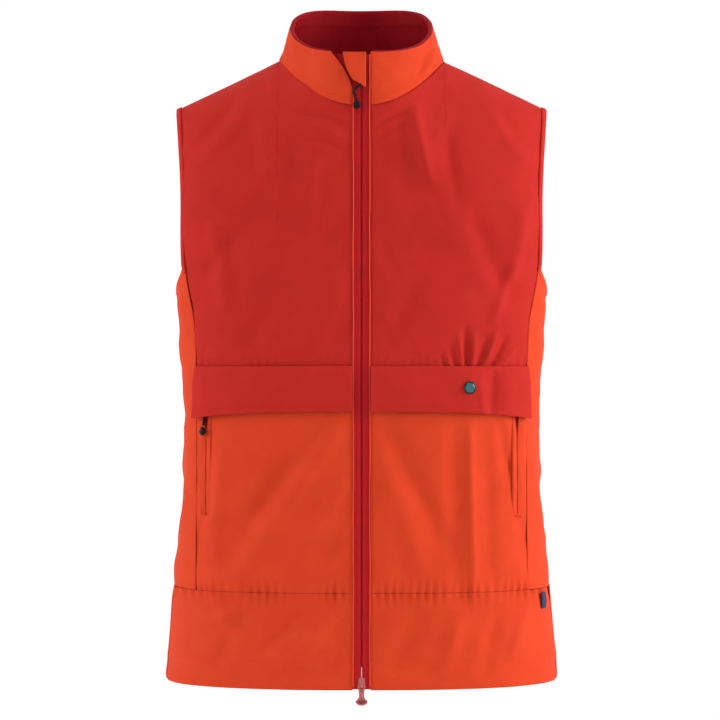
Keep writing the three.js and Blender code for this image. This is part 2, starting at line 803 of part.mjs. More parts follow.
// The wearer's right pull hangs below the storm flap. The left one is shorter and stays under it.
const pocketPulls = {
  right: {
    route: [[0, 1.9, cordStart], [0, 1.9, -11], [0, 2.2, -24], [0, 3.6, -38]],
    knot: [0, 5.2, -44], radius: knobRadius,
  },
  left: {
    route: [[0, 1.9, cordStart], [0, 1.9, -8], [0, 1.8, -15]],
    knot: [0, 1.9, -18], radius: 2.6,
  },
};

function pocketParts({ route, knot, radius }) {
  const parts = new THREE.Group();
  const frame = pocketFrame();
  parts.add(frame);
  addPocketChain(frame, pocketChainEnd);
  const sliderS = pocketLength / 2 - pocketSliderDrop;
  const slider = at(frame, 0, 0, sliderS);
  add('pocket_slider', closed(sliderGeometry(true, -bailReach, bailReach)), 'metal', slider);
  const pull = at(slider, 0, barDepth, -bailReach + 1.9);
  add('pocket_pull_loop', closed(wireLoop(loopHeight)), 'metal', pull);
  add('pocket_pull_cord', closed(cordAlong(route)), 'black', pull);
  add('pocket_pull_knot', closed(knobGeometry(radius, knot)), 'black', pull);
  const bagTop = -pocketTopDrop - 10;
  const bagEdge = pocketInset + 6;
  const bag = tubePanel({
    from: (z) => angleAt(-1, bagEdge - bagHalf * 2, z), to: (z) => angleAt(-1, bagEdge, z),
    bottom: level(bagTop - bagHeight), top: level(bagTop),
    out: -bagDepth - bagThickness, thickness: bagThickness, across: 5, up: 4,
  });
  add('pocket_bag', bag, 'lining', parts);
  return parts;
}

// Both pockets are built on the left, and the right one is mirrored.
function addPockets() {
  for (const [hand, pull] of Object.entries(pocketPulls)) {
    const parts = pocketParts(pull);
    parts.updateMatrixWorld(true);
    parts.traverse((part) => {
      if (!part.isMesh) return;
      const geometry = closed(part.geometry.clone().applyMatrix4(part.matrixWorld));
      add(`${hand}_${part.name}`, hand === 'right' ? mirrored(geometry) : geometry, part.userData.kind);
    });
  }
}

// ---- Snap ------------------------------------------------------------------------------

function turned(points, steps = 14) {
  const lathe = new THREE.LatheGeometry(points.map(([r, n]) => new THREE.Vector2(r, n)), steps);
  return lathe.rotateX(Math.PI);
}

function snapFrame() {
  const frame = new THREE.Group();
  const out = torsoNormal(-1, snapInset, runAt(ridge(snapInset) + snapDrop));
  const across = vec(0, 0, 1).cross(out).normalize();
  const inward = out.clone().negate();
  const up = across.clone().cross(inward);
  frame.matrix.makeBasis(across, inward, up).setPosition(torsoAt(-1, snapInset, -snapDrop, 0));
  frame.matrix.decompose(frame.position, frame.quaternion, frame.scale);
  return frame;
}

function addFlapsAndSnap() {
  const flap = flapGeometry();
  const frame = snapFrame();
  const share = (flapTopZ + snapDrop) / flapDepth;
  const inner = lerp(flapStandTop, flapStandEdge, share);
  const outer = inner + clothThickness;
  const holeRadius = snapPostRadius + 0.5;
  const hole = new THREE.CylinderGeometry(holeRadius, holeRadius, 20, 12);
  frame.updateMatrix();
  add('storm_flap_left', cut(flap, hole.applyMatrix4(frame.matrix)), 'yoke');
  add('storm_flap_right', mirrored(flap), 'yoke');
  vest.add(frame);
  const capBase = outer + snapPlay;
  const socketTop = inner - snapPlay;
  const socketBase = socketTop - socketHeight;
  const socketHole = snapStudRadius + socketWall;
  const postEnd = socketTop - 0.5;
  const cap = [
    [0, postEnd], [snapPostRadius, postEnd], [snapPostRadius, capBase], [snapCapRadius, capBase],
    [snapCapRadius, capBase + snapRim], [snapCapRadius * 0.7, capBase + snapCapHeight * 0.85],
    [0, capBase + snapCapHeight],
  ];
  add('snap_cap', closed(turned(cap)), 'snap', frame);
  const ring = [
    [socketHole, socketBase], [snapSocketRadius, socketBase], [snapSocketRadius, socketTop],
    [socketHole, socketTop], [socketHole, socketBase],
  ];
  add('snap_socket', closed(turned(ring)), 'metal', frame);
  const stud = [
    [0, studFoot], [snapSocketRadius, studFoot], [snapSocketRadius, studFoot + fitGap],
    [snapStudRadius, studFoot + fitGap],
    [snapStudRadius, postEnd - fitGap], [0, postEnd - fitGap],
  ];
  add('snap_stud', closed(turned(stud)), 'metal', frame);
}

// ---- Armhole bindings, tab, loop and label ---------------------------------------------

const bindingGap = 1.2;
const bindingLevels = [-205, -170, -135, -100, -74, -58];
const underarmShares = [0.97, 0.8, 0.62, 0.5, 0.38, 0.2, 0.03];
const tipRun = 6;                // how far down from the shoulder line the binding turns over it

function armholeBinding() {
  const off = bindingRadius + bindingGap;
  const depth = -clothThickness / 2;
  const points = [];
  const edge = (side, z) => {
    const x = armhole(z) + off;
    return torsoAt(side, x, Math.min(z, ridge(x)), depth);
  };
  for (const z of bindingLevels) points.push(edge(-1, z));
  const tip = shoulderHalf + off;
  points.push(onTorso(-1, tip, tipRun, depth), onTorso(1, tip, tipRun, depth));
  for (const z of bindingLevels.toReversed()) points.push(edge(1, z));
  for (const u of underarmShares) {
    const z = underarmEdge(u) + off + 1;
    points.push(onTube(lerp(frontSeamAngle(z), backSeamAngle(z), u), z, depth));
  }
  const loop = new THREE.CatmullRomCurve3(points, true, 'centripetal');
  const count = 44;
  const gapShare = 0.0008;
  const shares = Array.from({ length: count + 1 }, (_, i) => clamp(i / count, gapShare, 1 - gapShare));
  const open = shares.map((share) => loop.getPointAt(share));
  const path = new THREE.CatmullRomCurve3(open, false, 'centripetal');
  const section = new THREE.Shape();
  section.absarc(0, 0, bindingRadius, 0, 2 * Math.PI);
  const options = { steps: 48, extrudePath: path, curveSegments: 3, bevelEnabled: false };
  return closed(new THREE.ExtrudeGeometry(section, options));
}

function addTab() {
  const z = hemSeamZ - tabDrop;
  const start = degToRad(tabAngle);
  const p = onTube(start, z, 0);
  const next = onTube(start + 0.05, z, 0);
  const across = next.clone().sub(p).normalize();
  const out = across.clone().cross(vec(0, 0, 1)).normalize();
  const frame = new THREE.Group();
  const place = new THREE.Matrix4().makeBasis(across, out.negate(), vec(0, 0, 1)).setPosition(p);
  frame.applyMatrix4(place);
  vest.add(frame);
  const half = tabHeight / 2;
  const tab = block(0, tabWidth, tabStand, tabStand + tabThickness, -half, half);
  add('side_label_tab', closed(tab), 'label', frame);
}

// The loop stands as a small flat-topped arch at the inside of the back neck.
function addHangerLoop() {
  const y = backDepths.neck - loopInset;
  const foot = -neckBackDrop;
  const flat = loopFlat;
  const shape = new THREE.Shape();
  shape.moveTo(-loopHalf, foot);
  shape.lineTo(-flat, foot + loopRise);
  shape.lineTo(flat, foot + loopRise);
  shape.lineTo(loopHalf, foot);
  shape.lineTo(loopHalf - 2 * loopThickness, foot);
  shape.lineTo(flat - 0.5, foot + loopRise - loopThickness);
  shape.lineTo(0.5 - flat, foot + loopRise - loopThickness);
  shape.lineTo(2 * loopThickness - loopHalf, foot);
  add('hanger_loop', closed(plate(shape, -y - loopWidth / 2, loopWidth)), 'black');
}

function addNeckLabel() {
  const label = bent(4, 1, (u, v, w) => {
    const angle = Math.PI + lerp(-labelSpread, labelSpread, u);
    const height = lerp(labelFoot, labelHead, v);
    return collarPoint(angle, height, collarLiningLayer - labelStand + w * labelThickness);
  });
  add('neck_label', label, 'label');
}

// ---- Assembly --------------------------------------------------------------------------

addUpperShell();
addLowerShell();
addPair('side_panel', sidePanel(hemSeamZ + seamGap, shellOut, clothThickness, 6, 6), 'shell');
addHemBands();
addLining();
addFlapsAndSnap();
addCollar();
addFrontZip();
addPiping();
addGarage();
addPockets();
addPair('armhole_binding', armholeBinding(), 'yoke');
addTab();
addHangerLoop();
addNeckLabel();

export default vest;
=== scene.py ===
# %% [markdown]
# A sleeveless field vest, built piece by piece around its engineering model. The real one
# is cut from thin woven cloth in two colours, lined with a smooth dark red cloth, and closed
# by a two-way zip. The CAD frame says where every piece is, so this script only adds looks.
# %% The frame
import math
import bmesh
import bpy
import numpy as np
from mathutils import Matrix, Vector, noise


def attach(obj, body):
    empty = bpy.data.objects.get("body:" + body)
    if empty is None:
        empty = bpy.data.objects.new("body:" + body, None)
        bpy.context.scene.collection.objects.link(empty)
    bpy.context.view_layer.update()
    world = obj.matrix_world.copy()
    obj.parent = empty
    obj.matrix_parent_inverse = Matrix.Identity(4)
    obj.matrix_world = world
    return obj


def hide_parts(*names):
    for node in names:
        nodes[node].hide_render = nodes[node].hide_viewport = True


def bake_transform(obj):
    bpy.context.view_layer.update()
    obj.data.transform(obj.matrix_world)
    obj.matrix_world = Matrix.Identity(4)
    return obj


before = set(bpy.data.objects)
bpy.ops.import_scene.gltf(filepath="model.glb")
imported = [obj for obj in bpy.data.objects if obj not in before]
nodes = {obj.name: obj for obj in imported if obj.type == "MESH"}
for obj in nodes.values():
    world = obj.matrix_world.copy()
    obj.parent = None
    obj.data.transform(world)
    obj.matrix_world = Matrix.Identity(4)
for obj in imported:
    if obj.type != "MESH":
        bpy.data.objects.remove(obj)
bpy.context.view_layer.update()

MM = 0.001

# %% [markdown]
# The camera stands three metres in front of the zip, level with the waist of the vest. A
# long lens keeps the sides nearly parallel, as in a catalogue picture.
# %% Camera
CAMERA_DISTANCE = 3.0
CAMERA_HEIGHT = -0.3338
PICTURE_WIDTH = 0.8064
SENSOR = 36.0

lens = bpy.data.cameras.new("catalogue_camera")
lens.sensor_width = SENSOR
lens.lens = SENSOR * CAMERA_DISTANCE / PICTURE_WIDTH
camera = bpy.data.objects.new("catalogue_camera", lens)
camera.location = (-0.0017, -CAMERA_DISTANCE, CAMERA_HEIGHT)
camera.rotation_euler = (math.radians(90), 0, 0)
bpy.context.scene.collection.objects.link(camera)
bpy.context.scene.camera = camera
print("lens:", round(lens.lens, 1), "mm")

# %% [markdown]
# Soft light comes from a white room, with a large lamp at each side. The front of the vest
# is then a little darker than its flanks, which is how thin cloth looks in a light tent.
# %% Light and floor
ROOM_STRENGTH = 1.02

room = bpy.data.worlds.new("white_room")
bpy.context.scene.world = room
room.use_nodes = True
room.node_tree.nodes["Background"].inputs["Color"].default_value = (1, 1, 1, 1)
room.node_tree.nodes["Background"].inputs["Strength"].default_value = ROOM_STRENGTH
bpy.context.scene.view_settings.view_transform = "Standard"


def lamp(name, place, target, size, power):
    """A soft square lamp that faces the target."""
    light = bpy.data.lights.new(name, "AREA")
    light.shape = "SQUARE"
    light.size = size
    light.energy = power
    holder = bpy.data.objects.new(name, light)
    holder.location = place
    holder.rotation_euler = (Vector(target) - Vector(place)).to_track_quat("-Z", "Y").to_euler()
    bpy.context.scene.collection.objects.link(holder)
    return holder


middle = (0, 0, -0.34)
lamp("lamp_left", (2.4, -0.45, 0.3), middle, 1.2, 64)
lamp("lamp_right", (-2.4, -0.3, 0.3), middle, 1.2, 34)
lamp("lamp_above", (0.3, -0.5, 2.3), middle, 1.0, 12)

FLOOR_LEVEL = -1.1
floor_shape = bmesh.new()
bmesh.ops.create_grid(floor_shape, x_segments=8, y_segments=8, size=2.2)
bmesh.ops.translate(floor_shape, verts=floor_shape.verts, vec=(0, 0, FLOOR_LEVEL))
floor_mesh = bpy.data.meshes.new("floor")
floor_shape.to_mesh(floor_mesh)
floor_shape.free()
floor = bpy.data.objects.new("floor", floor_mesh)
bpy.context.scene.collection.objects.link(floor)
print("floor at", FLOOR_LEVEL)

# %% [markdown]
# The whole vest lies on one smooth surface, written down once as a few curves in
# millimetres. A profile passes smoothly through its stops, so the waist, chest and hem
# widths can each be named. Numpy arrays let one call bend a whole sheet of cloth.
# %% Profiles of the body


def profile(stops):
    """A smooth curve through (level, value) stops that rise."""
    at, value = (np.array(c, float) for c in zip(*stops))
    low, high = np.maximum(np.arange(len(at)) - 1, 0), np.minimum(np.arange(len(at)) + 1, len(at) - 1)
    slope = (value[high] - value[low]) / (at[high] - at[low])

    def read(level):
        t = np.clip(level, at[0], at[-1])
        i = np.clip(np.searchsorted(at, t, side="right") - 1, 0, len(at) - 2)
        span = at[i + 1] - at[i]
        f = (t - at[i]) / span
        ease = f * f * (3 - 2 * f)
        bends = f * (1 - f) ** 2 * slope[i] - f * f * (1 - f) * slope[i + 1]
        return value[i] * (1 - ease) + value[i + 1] * ease + span * bends

    return read


HEM, WAIST, UNDERARM, UPPER = -687.0, -430.0, -262.0, -150.0
NECK_HALF = 92.0
FRONT_DEPTH, ZIP_LEAN = 92.0, 0.0655
SHOULDER_SLOPE, RIDGE_RISE, ROLL = 0.472, 0.0102, 150.0

half_width = profile([(HEM, 219), (WAIST, 198.5), (UNDERARM, 206), (UPPER, 212), (0, 208)])
squareness = profile([(HEM, 2.5), (WAIST, 2.6), (UNDERARM, 2.8), (UPPER, 3.2)])
back_depth = profile([(HEM, 122), (WAIST, 104), (UNDERARM, 116), (UPPER, 121), (-12, 78)])
armhole = profile([(WAIST, 181), (-300, 183), (-235, 194), (-143, 195), (-56, 202)])
print("waist half width:", float(half_width(WAIST)), "mm")

# %% Shoulders, front, back and the tube below the arms


def stack(x, y, z):
    return np.stack(np.broadcast_arrays(x, y, z), axis=-1).astype(float)


def unit(vectors):
    return vectors / np.maximum(np.linalg.norm(vectors, axis=-1, keepdims=True), 1e-9)


def depth_at(side, z):
    return FRONT_DEPTH - ZIP_LEAN * z if side < 0 else back_depth(z)


def ridge(x):
    inside = np.maximum(NECK_HALF - np.abs(x), 0)
    return SHOULDER_SLOPE * (NECK_HALF - np.abs(x)) + RIDGE_RISE * inside**2


QUARTER = ROLL * math.pi / 2


def run_at(drop):
    """Cloth length from the shoulder line down to a drop, and drop_at goes back."""
    curved = ROLL * np.arccos(1 - np.clip(drop, 0, ROLL) / ROLL)
    return np.where(drop < ROLL, curved, QUARTER + drop - ROLL)


def drop_at(run):
    return np.where(run < QUARTER, ROLL * (1 - np.cos(run / ROLL)), ROLL + run - QUARTER)


def torso(side, x, run):
    z = ridge(x) - drop_at(run)
    n = squareness(z)
    share = np.clip(np.abs(x) / half_width(z), 0, 0.999)
    roll = np.where(run < QUARTER, np.sin(run / ROLL), 1)
    return stack(x, side * depth_at(side, z) * (1 - share**n) ** (1 / n) * roll, z)


def torso_normal(side, x, run):
    across = torso(side, x + 0.5, run) - torso(side, x - 0.5, run)
    down = torso(side, x, run + 0.5) - torso(side, x, np.maximum(run - 0.5, 0))
    return unit(-side * np.cross(down, across))


def on_torso(side, x, run, out):
    return torso(side, x, run) + torso_normal(side, x, run) * np.asarray(out)[..., None]


def at_level(side, x, z, out=0.0):
    return on_torso(side, x, run_at(ridge(x) - z), out)


def tube(angle, z):
    """Below the arms: angle 0 is the front, half a turn the back, and +X a quarter."""
    sin, cos = np.sin(angle), np.cos(angle)
    depth = np.where(cos > 0, depth_at(-1, z), depth_at(1, z))
    n = squareness(z)
    radius = (np.abs(sin / half_width(z)) ** n + np.abs(cos / depth) ** n) ** (-1 / n)
    return stack(radius * sin, -radius * cos, z)


def on_tube(angle, z, out):
    across = tube(angle + 0.01, z) - tube(angle - 0.01, z)
    up = tube(angle, z + 1) - tube(angle, z - 1)
    return tube(angle, z) + unit(np.cross(across, up)) * np.asarray(out)[..., None]


def angle_at(side, x, z):
    p = at_level(side, x, z)
    return np.arctan2(p[..., 0], -p[..., 1])


print("front of the waist:", at_level(-1, np.array([0.0]), WAIST)[0].round(1))

# %% [markdown]
# Shader maths is easier to read as Python, so a small class stands for one output of a
# node and turns + - * into Math nodes. A Finish is one material: its node method makes
# every node, sets it up, and joins its sockets.
# %% Shader helper


class Signal:
    """One output socket of a finish's node."""

    def __init__(self, finish, socket):
        self.finish, self.socket = finish, socket

    def maths(self, operation, *others):
        values = dict(enumerate((self, *others)))
        return self.finish.node("ShaderNodeMath", {"operation": operation}, values)

    def __add__(self, other):
        return self.maths("ADD", other)

    def __mul__(self, other):
        return self.maths("MULTIPLY", other)

    def __sub__(self, other):
        return self.maths("SUBTRACT", other)

    def __rsub__(self, other):
        return (self * -1.0).maths("ADD", other)

    __radd__, __rmul__ = __add__, __mul__


class Finish:
    """One material on a Principled shader."""

    def __init__(self, name, **constants):
        self.material = bpy.data.materials.new(name)
        self.material.use_nodes = True
        self.tree = self.material.node_tree
        self.tree.nodes.clear()
        self.surface = self.node("ShaderNodeBsdfPrincipled")
        self.node("ShaderNodeOutputMaterial", inputs={"Surface": self.surface}, output=None)
        for socket, value in constants.items():
            self.surface.socket.node.inputs[socket.replace("_", " ")].default_value = value

    def node(self, kind, settings=None, inputs=None, output=0):
        made = self.tree.nodes.new(kind)
        for key, value in (settings or {}).items():
            if key == "stops":
                for stop, (place, colour) in zip(made.color_ramp.elements, value):
                    stop.position, stop.color = place, colour
            else:
                setattr(made, key, value)
        for key, value in (inputs or {}).items():
            if isinstance(value, Signal):
                self.tree.links.new(value.socket, made.inputs[key])
            else:
                made.inputs[key].default_value = value
        return None if output is None else Signal(self, made.outputs[output])

    def feed(self, socket, value):
        target = self.surface.socket.node.inputs[socket]
        if isinstance(value, Signal):
            self.tree.links.new(value.socket, target)
        else:
            target.default_value = value

    def noise(self, vector, scale, detail=2.0, rough=0.5):
        inputs = {"Vector": vector, "Scale": scale, "Detail": detail, "Roughness": rough}
        return self.node("ShaderNodeTexNoise", {"noise_dimensions": "3D"}, inputs)

    def blend(self, share, first, second):
        """A colour between two."""
        inputs = {0: share, 6: first, 7: second}
        return self.node("ShaderNodeMix", {"data_type": "RGBA"}, inputs, output=2)

    def bump(self, height, distance, strength=1.0):
        inputs = {"Height": height, "Distance": distance, "Strength": strength}
        self.feed("Normal", self.node("ShaderNodeBump", inputs=inputs))

    def place(self, kind="Object"):
        if kind == "Object":
            return self.node("ShaderNodeTexCoord", output="Object")
        return self.node("ShaderNodeUVMap", {"uv_map": kind})

    def parts(self, vector):
        """The x, y and z of a vector."""
        x = self.node("ShaderNodeSeparateXYZ", inputs={0: vector})
        return x, Signal(self, x.socket.node.outputs[1]), Signal(self, x.socket.node.outputs[2])


def sine(signal, pitch):
    return (signal * (2 * math.pi / pitch)).maths("SINE")


def shade(red, green, blue, share=1.0):
    """A colour given as in a paint program, made linear, and scaled."""
    linear = [((c / 255 + 0.055) / 1.055) ** 2.4 if c > 10 else c / 3294.6 for c in (red, green, blue)]
    return (*(c * share for c in linear), 1.0)


print("shader helper ready")

# %% [markdown]
# The shell and yoke are a light plain weave with a dry, slightly chalky look. Threads half
# a millimetre apart give the bump its grain, thicker slubs run both ways, and a slow
# noise makes the dye and the tiny crumples uneven. The lining is the same idea, smoother.
# %% Cloth finishes


def woven(name, colour, deep, pitch=0.00055, sheen=0.0, rough=0.72, crumple=1.0, grain=1.0):
    """Woven cloth on the piece's own flat pattern, in metres."""
    cloth = Finish(name, Sheen_Weight=sheen, Sheen_Roughness=0.45, Specular_IOR_Level=0.06)
    flat = cloth.place("cloth")
    across, along, _ = cloth.parts(flat)
    threads = sine(across, pitch) * sine(along, pitch)
    slub_map = cloth.node("ShaderNodeMapping", inputs={0: flat, 3: (1.0, 14.0, 1.0)})
    slub_turn = cloth.node("ShaderNodeMapping", inputs={0: flat, 3: (14.0, 1.0, 1.0)})
    slubs = cloth.noise(slub_map, 190.0, 3.0) + cloth.noise(slub_turn, 190.0, 3.0)
    dye = cloth.noise(flat, 26.0, 4.0, 0.6)
    crumples = cloth.noise(flat, 62.0, 3.0, 0.55)
    mottle = dye * 0.55 + slubs * 0.22 + threads * 0.05
    cloth.feed("Base Color", cloth.blend(mottle.maths("MULTIPLY_ADD", 1.6, -0.35), deep, colour))
    cloth.feed("Roughness", rough + (slubs - 1.0) * 0.18)
    height = threads * (0.06 * grain) + slubs * (0.16 * grain) + crumples * crumple
    cloth.bump(height, 0.0011, 0.55)
    return cloth.material


SHELL_TONE, SHELL_DEEP = shade(194, 60, 28), shade(176, 49, 24)
YOKE_TONE, YOKE_DEEP = shade(172, 36, 28), shade(154, 29, 24)
shell_cloth = woven("shell_orange_cloth", SHELL_TONE, SHELL_DEEP)
yoke_cloth = woven("yoke_red_cloth", YOKE_TONE, YOKE_DEEP)
lining_cloth = woven("lining_dark_red", shade(140, 2, 16), shade(108, 0, 10), 0.0004, 0.0, 0.6, 0.8)
piping_cloth = woven("piping_light_orange", shade(214, 66, 34), shade(196, 52, 28), 0.0006, 0.0, 0.5, 0.3)
label_cloth = woven("label_navy_weave", shade(34, 44, 78), shade(22, 28, 56), 0.0007, 0.1, 0.6, 0.3)
loop_cloth = woven("hanger_black_tape", shade(34, 34, 38), shade(20, 20, 24), 0.0011, 0.1, 0.6, 0.3, 3.0)
print("cloth finishes:", 6)

# %% [markdown]
# Zip tape is a ribbed weave, so its bump runs across the tape. Metal is lacquered in the
# same red and worn lighter by a soft noise. The pull cord is a black twist and the knobs
# and snap are moulded, glossy, with faint scuffs.
# %% Hard finishes


def ribbed_tape(name, colour, deep):
    tape = Finish(name, Specular_IOR_Level=0.12)
    across, along, _ = tape.parts(tape.place("cloth"))
    ribs = sine(along + across * 0.6, 0.0016) * sine(across, 0.0011)
    dye = tape.noise(tape.place("cloth"), 60.0, 3.0)
    tape.feed("Base Color", tape.blend(ribs * 0.12 + dye, deep, colour))
    tape.feed("Roughness", 0.62 + dye * 0.15)
    tape.bump(ribs * 0.5 + dye * 0.3, 0.0004, 0.6)
    return tape.material


def moulded(name, colour, worn, rough=0.35, metal=0.0, coat=0.0, grain=900.0, shine=0.5):
    skin = Finish(name, Coat_Roughness=0.2, Coat_Weight=coat, Specular_IOR_Level=shine)
    where = skin.place()
    scuffs = skin.noise(where, grain, 4.0, 0.65)
    cloud = skin.noise(where, grain * 0.12, 2.0)
    skin.feed("Base Color", skin.blend(scuffs * 0.7 + cloud * 0.3, colour, worn))
    skin.feed("Roughness", rough + (scuffs - 0.5) * 0.22)
    skin.feed("Metallic", metal - cloud * 0.08 if metal else 0.0)
    skin.bump(scuffs, 0.00012, 0.4)
    return skin.material


def thread(name, colour, deep):
    strand = Finish(name, Specular_IOR_Level=0.15)
    fuzz = strand.noise(strand.place(), 2400.0, 3.0)
    strand.feed("Base Color", strand.blend(fuzz, deep, colour))
    strand.feed("Roughness", 0.5 + fuzz * 0.2)
    strand.bump(fuzz, 0.0002, 0.6)
    return strand.material


tape_cloth = ribbed_tape("zip_tape_crimson", shade(182, 24, 28), shade(156, 16, 22))
coil_plastic = moulded("zip_coil_crimson", shade(150, 22, 30), shade(190, 50, 56), 0.35, 0.0, 0.2)
slider_metal = moulded("zip_lacquered_metal", shade(150, 58, 60), shade(196, 112, 108), 0.34, 0.75, 0.1)
black_twist = thread("pull_black_twist", shade(10, 10, 12), shade(3, 3, 4))
black_rubber = moulded("pull_black_rubber", shade(3, 3, 4), shade(9, 9, 11), 0.3, shine=0.12)
teal_lacquer = moulded("snap_teal_lacquer", shade(8, 62, 66), shade(20, 92, 94), 0.26, 0.35, 0.4)
dark_metal = moulded("snap_dark_metal", shade(12, 14, 16), shade(34, 36, 40), 0.36, 0.5, 0.0)
orange_thread = thread("orange_thread", shade(206, 58, 34), shade(186, 48, 28))
red_thread = thread("red_thread", shade(172, 34, 30), shade(150, 26, 24))
lining_thread = thread("lining_thread", shade(112, 4, 14), shade(84, 2, 10))
floor_paint = moulded("floor_paint", shade(240, 240, 240), shade(247, 247, 247), 0.7, 0.0, 0.0, 30.0)
floor_mesh.materials.append(floor_paint)
print("hard finishes:", 11)

# %% [markdown]
# Light cloth worn by nobody still shows where it has been pulled: it gathers at the snap,
# hangs in long diagonals below the flaps, and puckers along each sewn seam. Each crease is
# written as a line across the front with a width and a height, and they add up.
# %% Creases of the front


def crease(x, z, start, end, width, height, bow=0.0):
    """A ridge, or with a negative height a valley, along a line that fades at both ends."""
    (ax, az), (bx, bz) = start, end
    length = math.hypot(bx - ax, bz - az)
    along = ((x - ax) * (bx - ax) + (z - az) * (bz - az)) / length**2
    middle_share = np.clip(4 * along * (1 - along), 0, 1)
    off = ((x - ax) * (bz - az) - (z - az) * (bx - ax)) / length - bow * middle_share
    return height * middle_share**0.7 * np.exp(-((off / width) ** 2))


CHEST_CREASES = [
    ((-8, -84), (-74, -64), 3.5, -1.3, 3), ((-8, -112), (-66, -94), 4, -1.1, 3),
    ((-10, -97), (-70, -78), 4, 0.8, 3), ((10, -82), (62, -60), 3.5, -1.3, -3),
    ((12, -97), (52, -78), 4, -0.9, -3), ((56, -50), (78, -150), 7, 2.6, 3),
    ((40, -60), (52, -150), 8, -1.6, 0), ((96, -70), (104, -170), 9, -1.6, 4),
    ((-66, -76), (-92, -190), 9, -1.8, 3), ((-48, -90), (-62, -200), 9, 1.4, 0),
    ((-112, -60), (-100, -170), 11, 1.8, -5), ((-185, -250), (-95, -130), 12, -2.0, 8),
    ((-150, -285), (-165, -180), 10, 2.4, 5), ((170, -270), (120, -170), 12, -2.2, -6),
    ((160, -255), (176, -160), 9, 1.8, 4), ((140, -300), (168, -225), 6, 1.5, 0),
    ((-178, -120), (-120, -52), 8, 1.6, 3), ((-190, -105), (-135, -40), 7, -1.5, 3),
    ((186, -125), (140, -60), 8, 1.2, -3), ((-60, -330), (-10, -240), 14, 1.2, 0),
    ((25, -320), (70, -235), 12, -1.2, 0), ((-130, -325), (-80, -250), 15, -1.4, 0),
]
SNAP_GATHERS = [
    ((112, -296), (116, -366), 3.4, -2.4, 0), ((104, -306), (112, -362), 2.8, 1.7, 0),
    ((123, -300), (118, -362), 2.8, 1.7, 0), ((136, -306), (121, -362), 3.0, -1.8, 0),
    ((96, -318), (108, -362), 2.6, -1.5, 0), ((86, -326), (96, -358), 2.4, -1.2, 0),
    ((90, -324), (102, -360), 2.4, 1.1, 0), ((160, -304), (132, -360), 3.6, -2.2, 0),
    ((148, -300), (126, -358), 3.0, 1.7, 0), ((168, -318), (143, -356), 3.0, 1.4, 0),
]
SKIRT_CREASES = [
    ((-6, -380), (-140, -580), 13, 3.0, 4), ((-34, -400), (-150, -556), 13, -3.0, 4),
    ((-4, -452), (-76, -560), 10, 2.0, 2), ((-8, -500), (-58, -580), 8, -1.4, 2),
    ((18, -392), (96, -556), 13, -2.8, -4), ((10, -430), (70, -570), 12, 1.8, -3),
    ((116, -372), (121, -606), 5, 2.0, 0), ((98, -380), (104, -600), 10, -1.8, 0),
    ((134, -385), (140, -590), 9, -1.4, 0), ((146, -390), (182, -566), 7, -2.2, -4),
    ((-150, -420), (-160, -590), 9, 1.8, 4), ((-172, -400), (-182, -560), 7, -1.6, -3),
    ((-85, -400), (-100, -520), 16, -1.0, 0), ((-130, -640), (-172, -566), 8, 1.8, 0),
]
HEM_CREASES = [
    ((-96, -668), (-30, -606), 9, 2.4, 5), ((-110, -650), (-62, -604), 8, -2.2, 0),
    ((-30, -672), (-14, -600), 7, -1.2, 0), ((-186, -622), (-130, -604), 7, 1.8, 3),
    ((-160, -668), (-124, -600), 9, -1.8, 0), ((30, -670), (66, -600), 12, -1.8, 0),
    ((84, -676), (110, -600), 10, 1.8, 0), ((130, -676), (150, -596), 9, -1.6, 0),
    ((160, -660), (182, -596), 7, 1.6, 0), ((-60, -690), (-20, -650), 10, -1.2, 0),
]
FLAP_CREASES = [
    ((141, -338), (138, -404), 5.5, -2.6, 0), ((154, -340), (158, -404), 8, 1.5, 0),
    ((126, -350), (130, -400), 4, 1.2, 0), ((60, -350), (40, -396), 12, 0.8, 0),
    ((-70, -346), (-96, -396), 14, -0.8, 0), ((-150, -346), (-140, -396), 10, 0.9, 0),
]


FOLD_SIZE = 1.8


def creases(x, z, lines):
    return sum(crease(x, z, a, b, width, height, bow) for a, b, width, height, bow in lines)


def ripple(x, z, scale, seed):
    """Slow unevenness from Blender's own noise, the same at each run."""
    spots = zip(np.ravel(x) / scale, np.ravel(z) / scale)
    values = [noise.noise((float(a), float(b), seed)) for a, b in spots]
    return np.array(values).reshape(np.shape(x))


def seam_pucker(x, z, level, reach, height, pitch=9.0):
    """Short puckers that stand across a sewn line."""
    beat = np.sin(x / pitch * 2 * math.pi + 3 * ripple(x, z * 0.3, 34, 2.0))
    some = np.clip(ripple(x, np.full_like(x, 7.0), 40, 5.0) + 0.55, 0, 1)
    return height * some * beat * np.exp(-(((z - level) / reach) ** 2))


def front_folds(x, z):
    """How far the front stands out from the smooth body, in millimetres."""
    lines = CHEST_CREASES + SNAP_GATHERS + SKIRT_CREASES + HEM_CREASES
    folds = FOLD_SIZE * creases(x, z, lines) + 2.4 * ripple(x, z, 58, 0.4) + 0.9 * ripple(x, z, 21, 1.3)
    folds = folds + seam_pucker(x, z, -584, 10, 1.9) + seam_pucker(x, z, -337, 7, 0.7)
    beside_zip = np.clip((np.abs(x) - 10) / 18, 0, 1)
    room = np.where(z > -368, (z + 342) / 14, (-388 - z) / 30)
    return folds * (0.1 + 0.9 * beside_zip) * np.where(folds > 0, np.clip(room, 0.12, 1), 1)


print("creases:", sum(map(len, (CHEST_CREASES, SNAP_GATHERS, SKIRT_CREASES, HEM_CREASES, FLAP_CREASES))))

# %% [markdown]
# Every cloth piece is made alike: a flat grid is the cut pattern, its rows crowd towards
# the seams, a function bends it to the body, and Solidify gives the cloth its thickness.
# Its flat pattern is kept as a UV map, so the weave follows the threads.
# %% Cutting and bending cloth
bodies_of_left = {1: "left", -1: "right"}


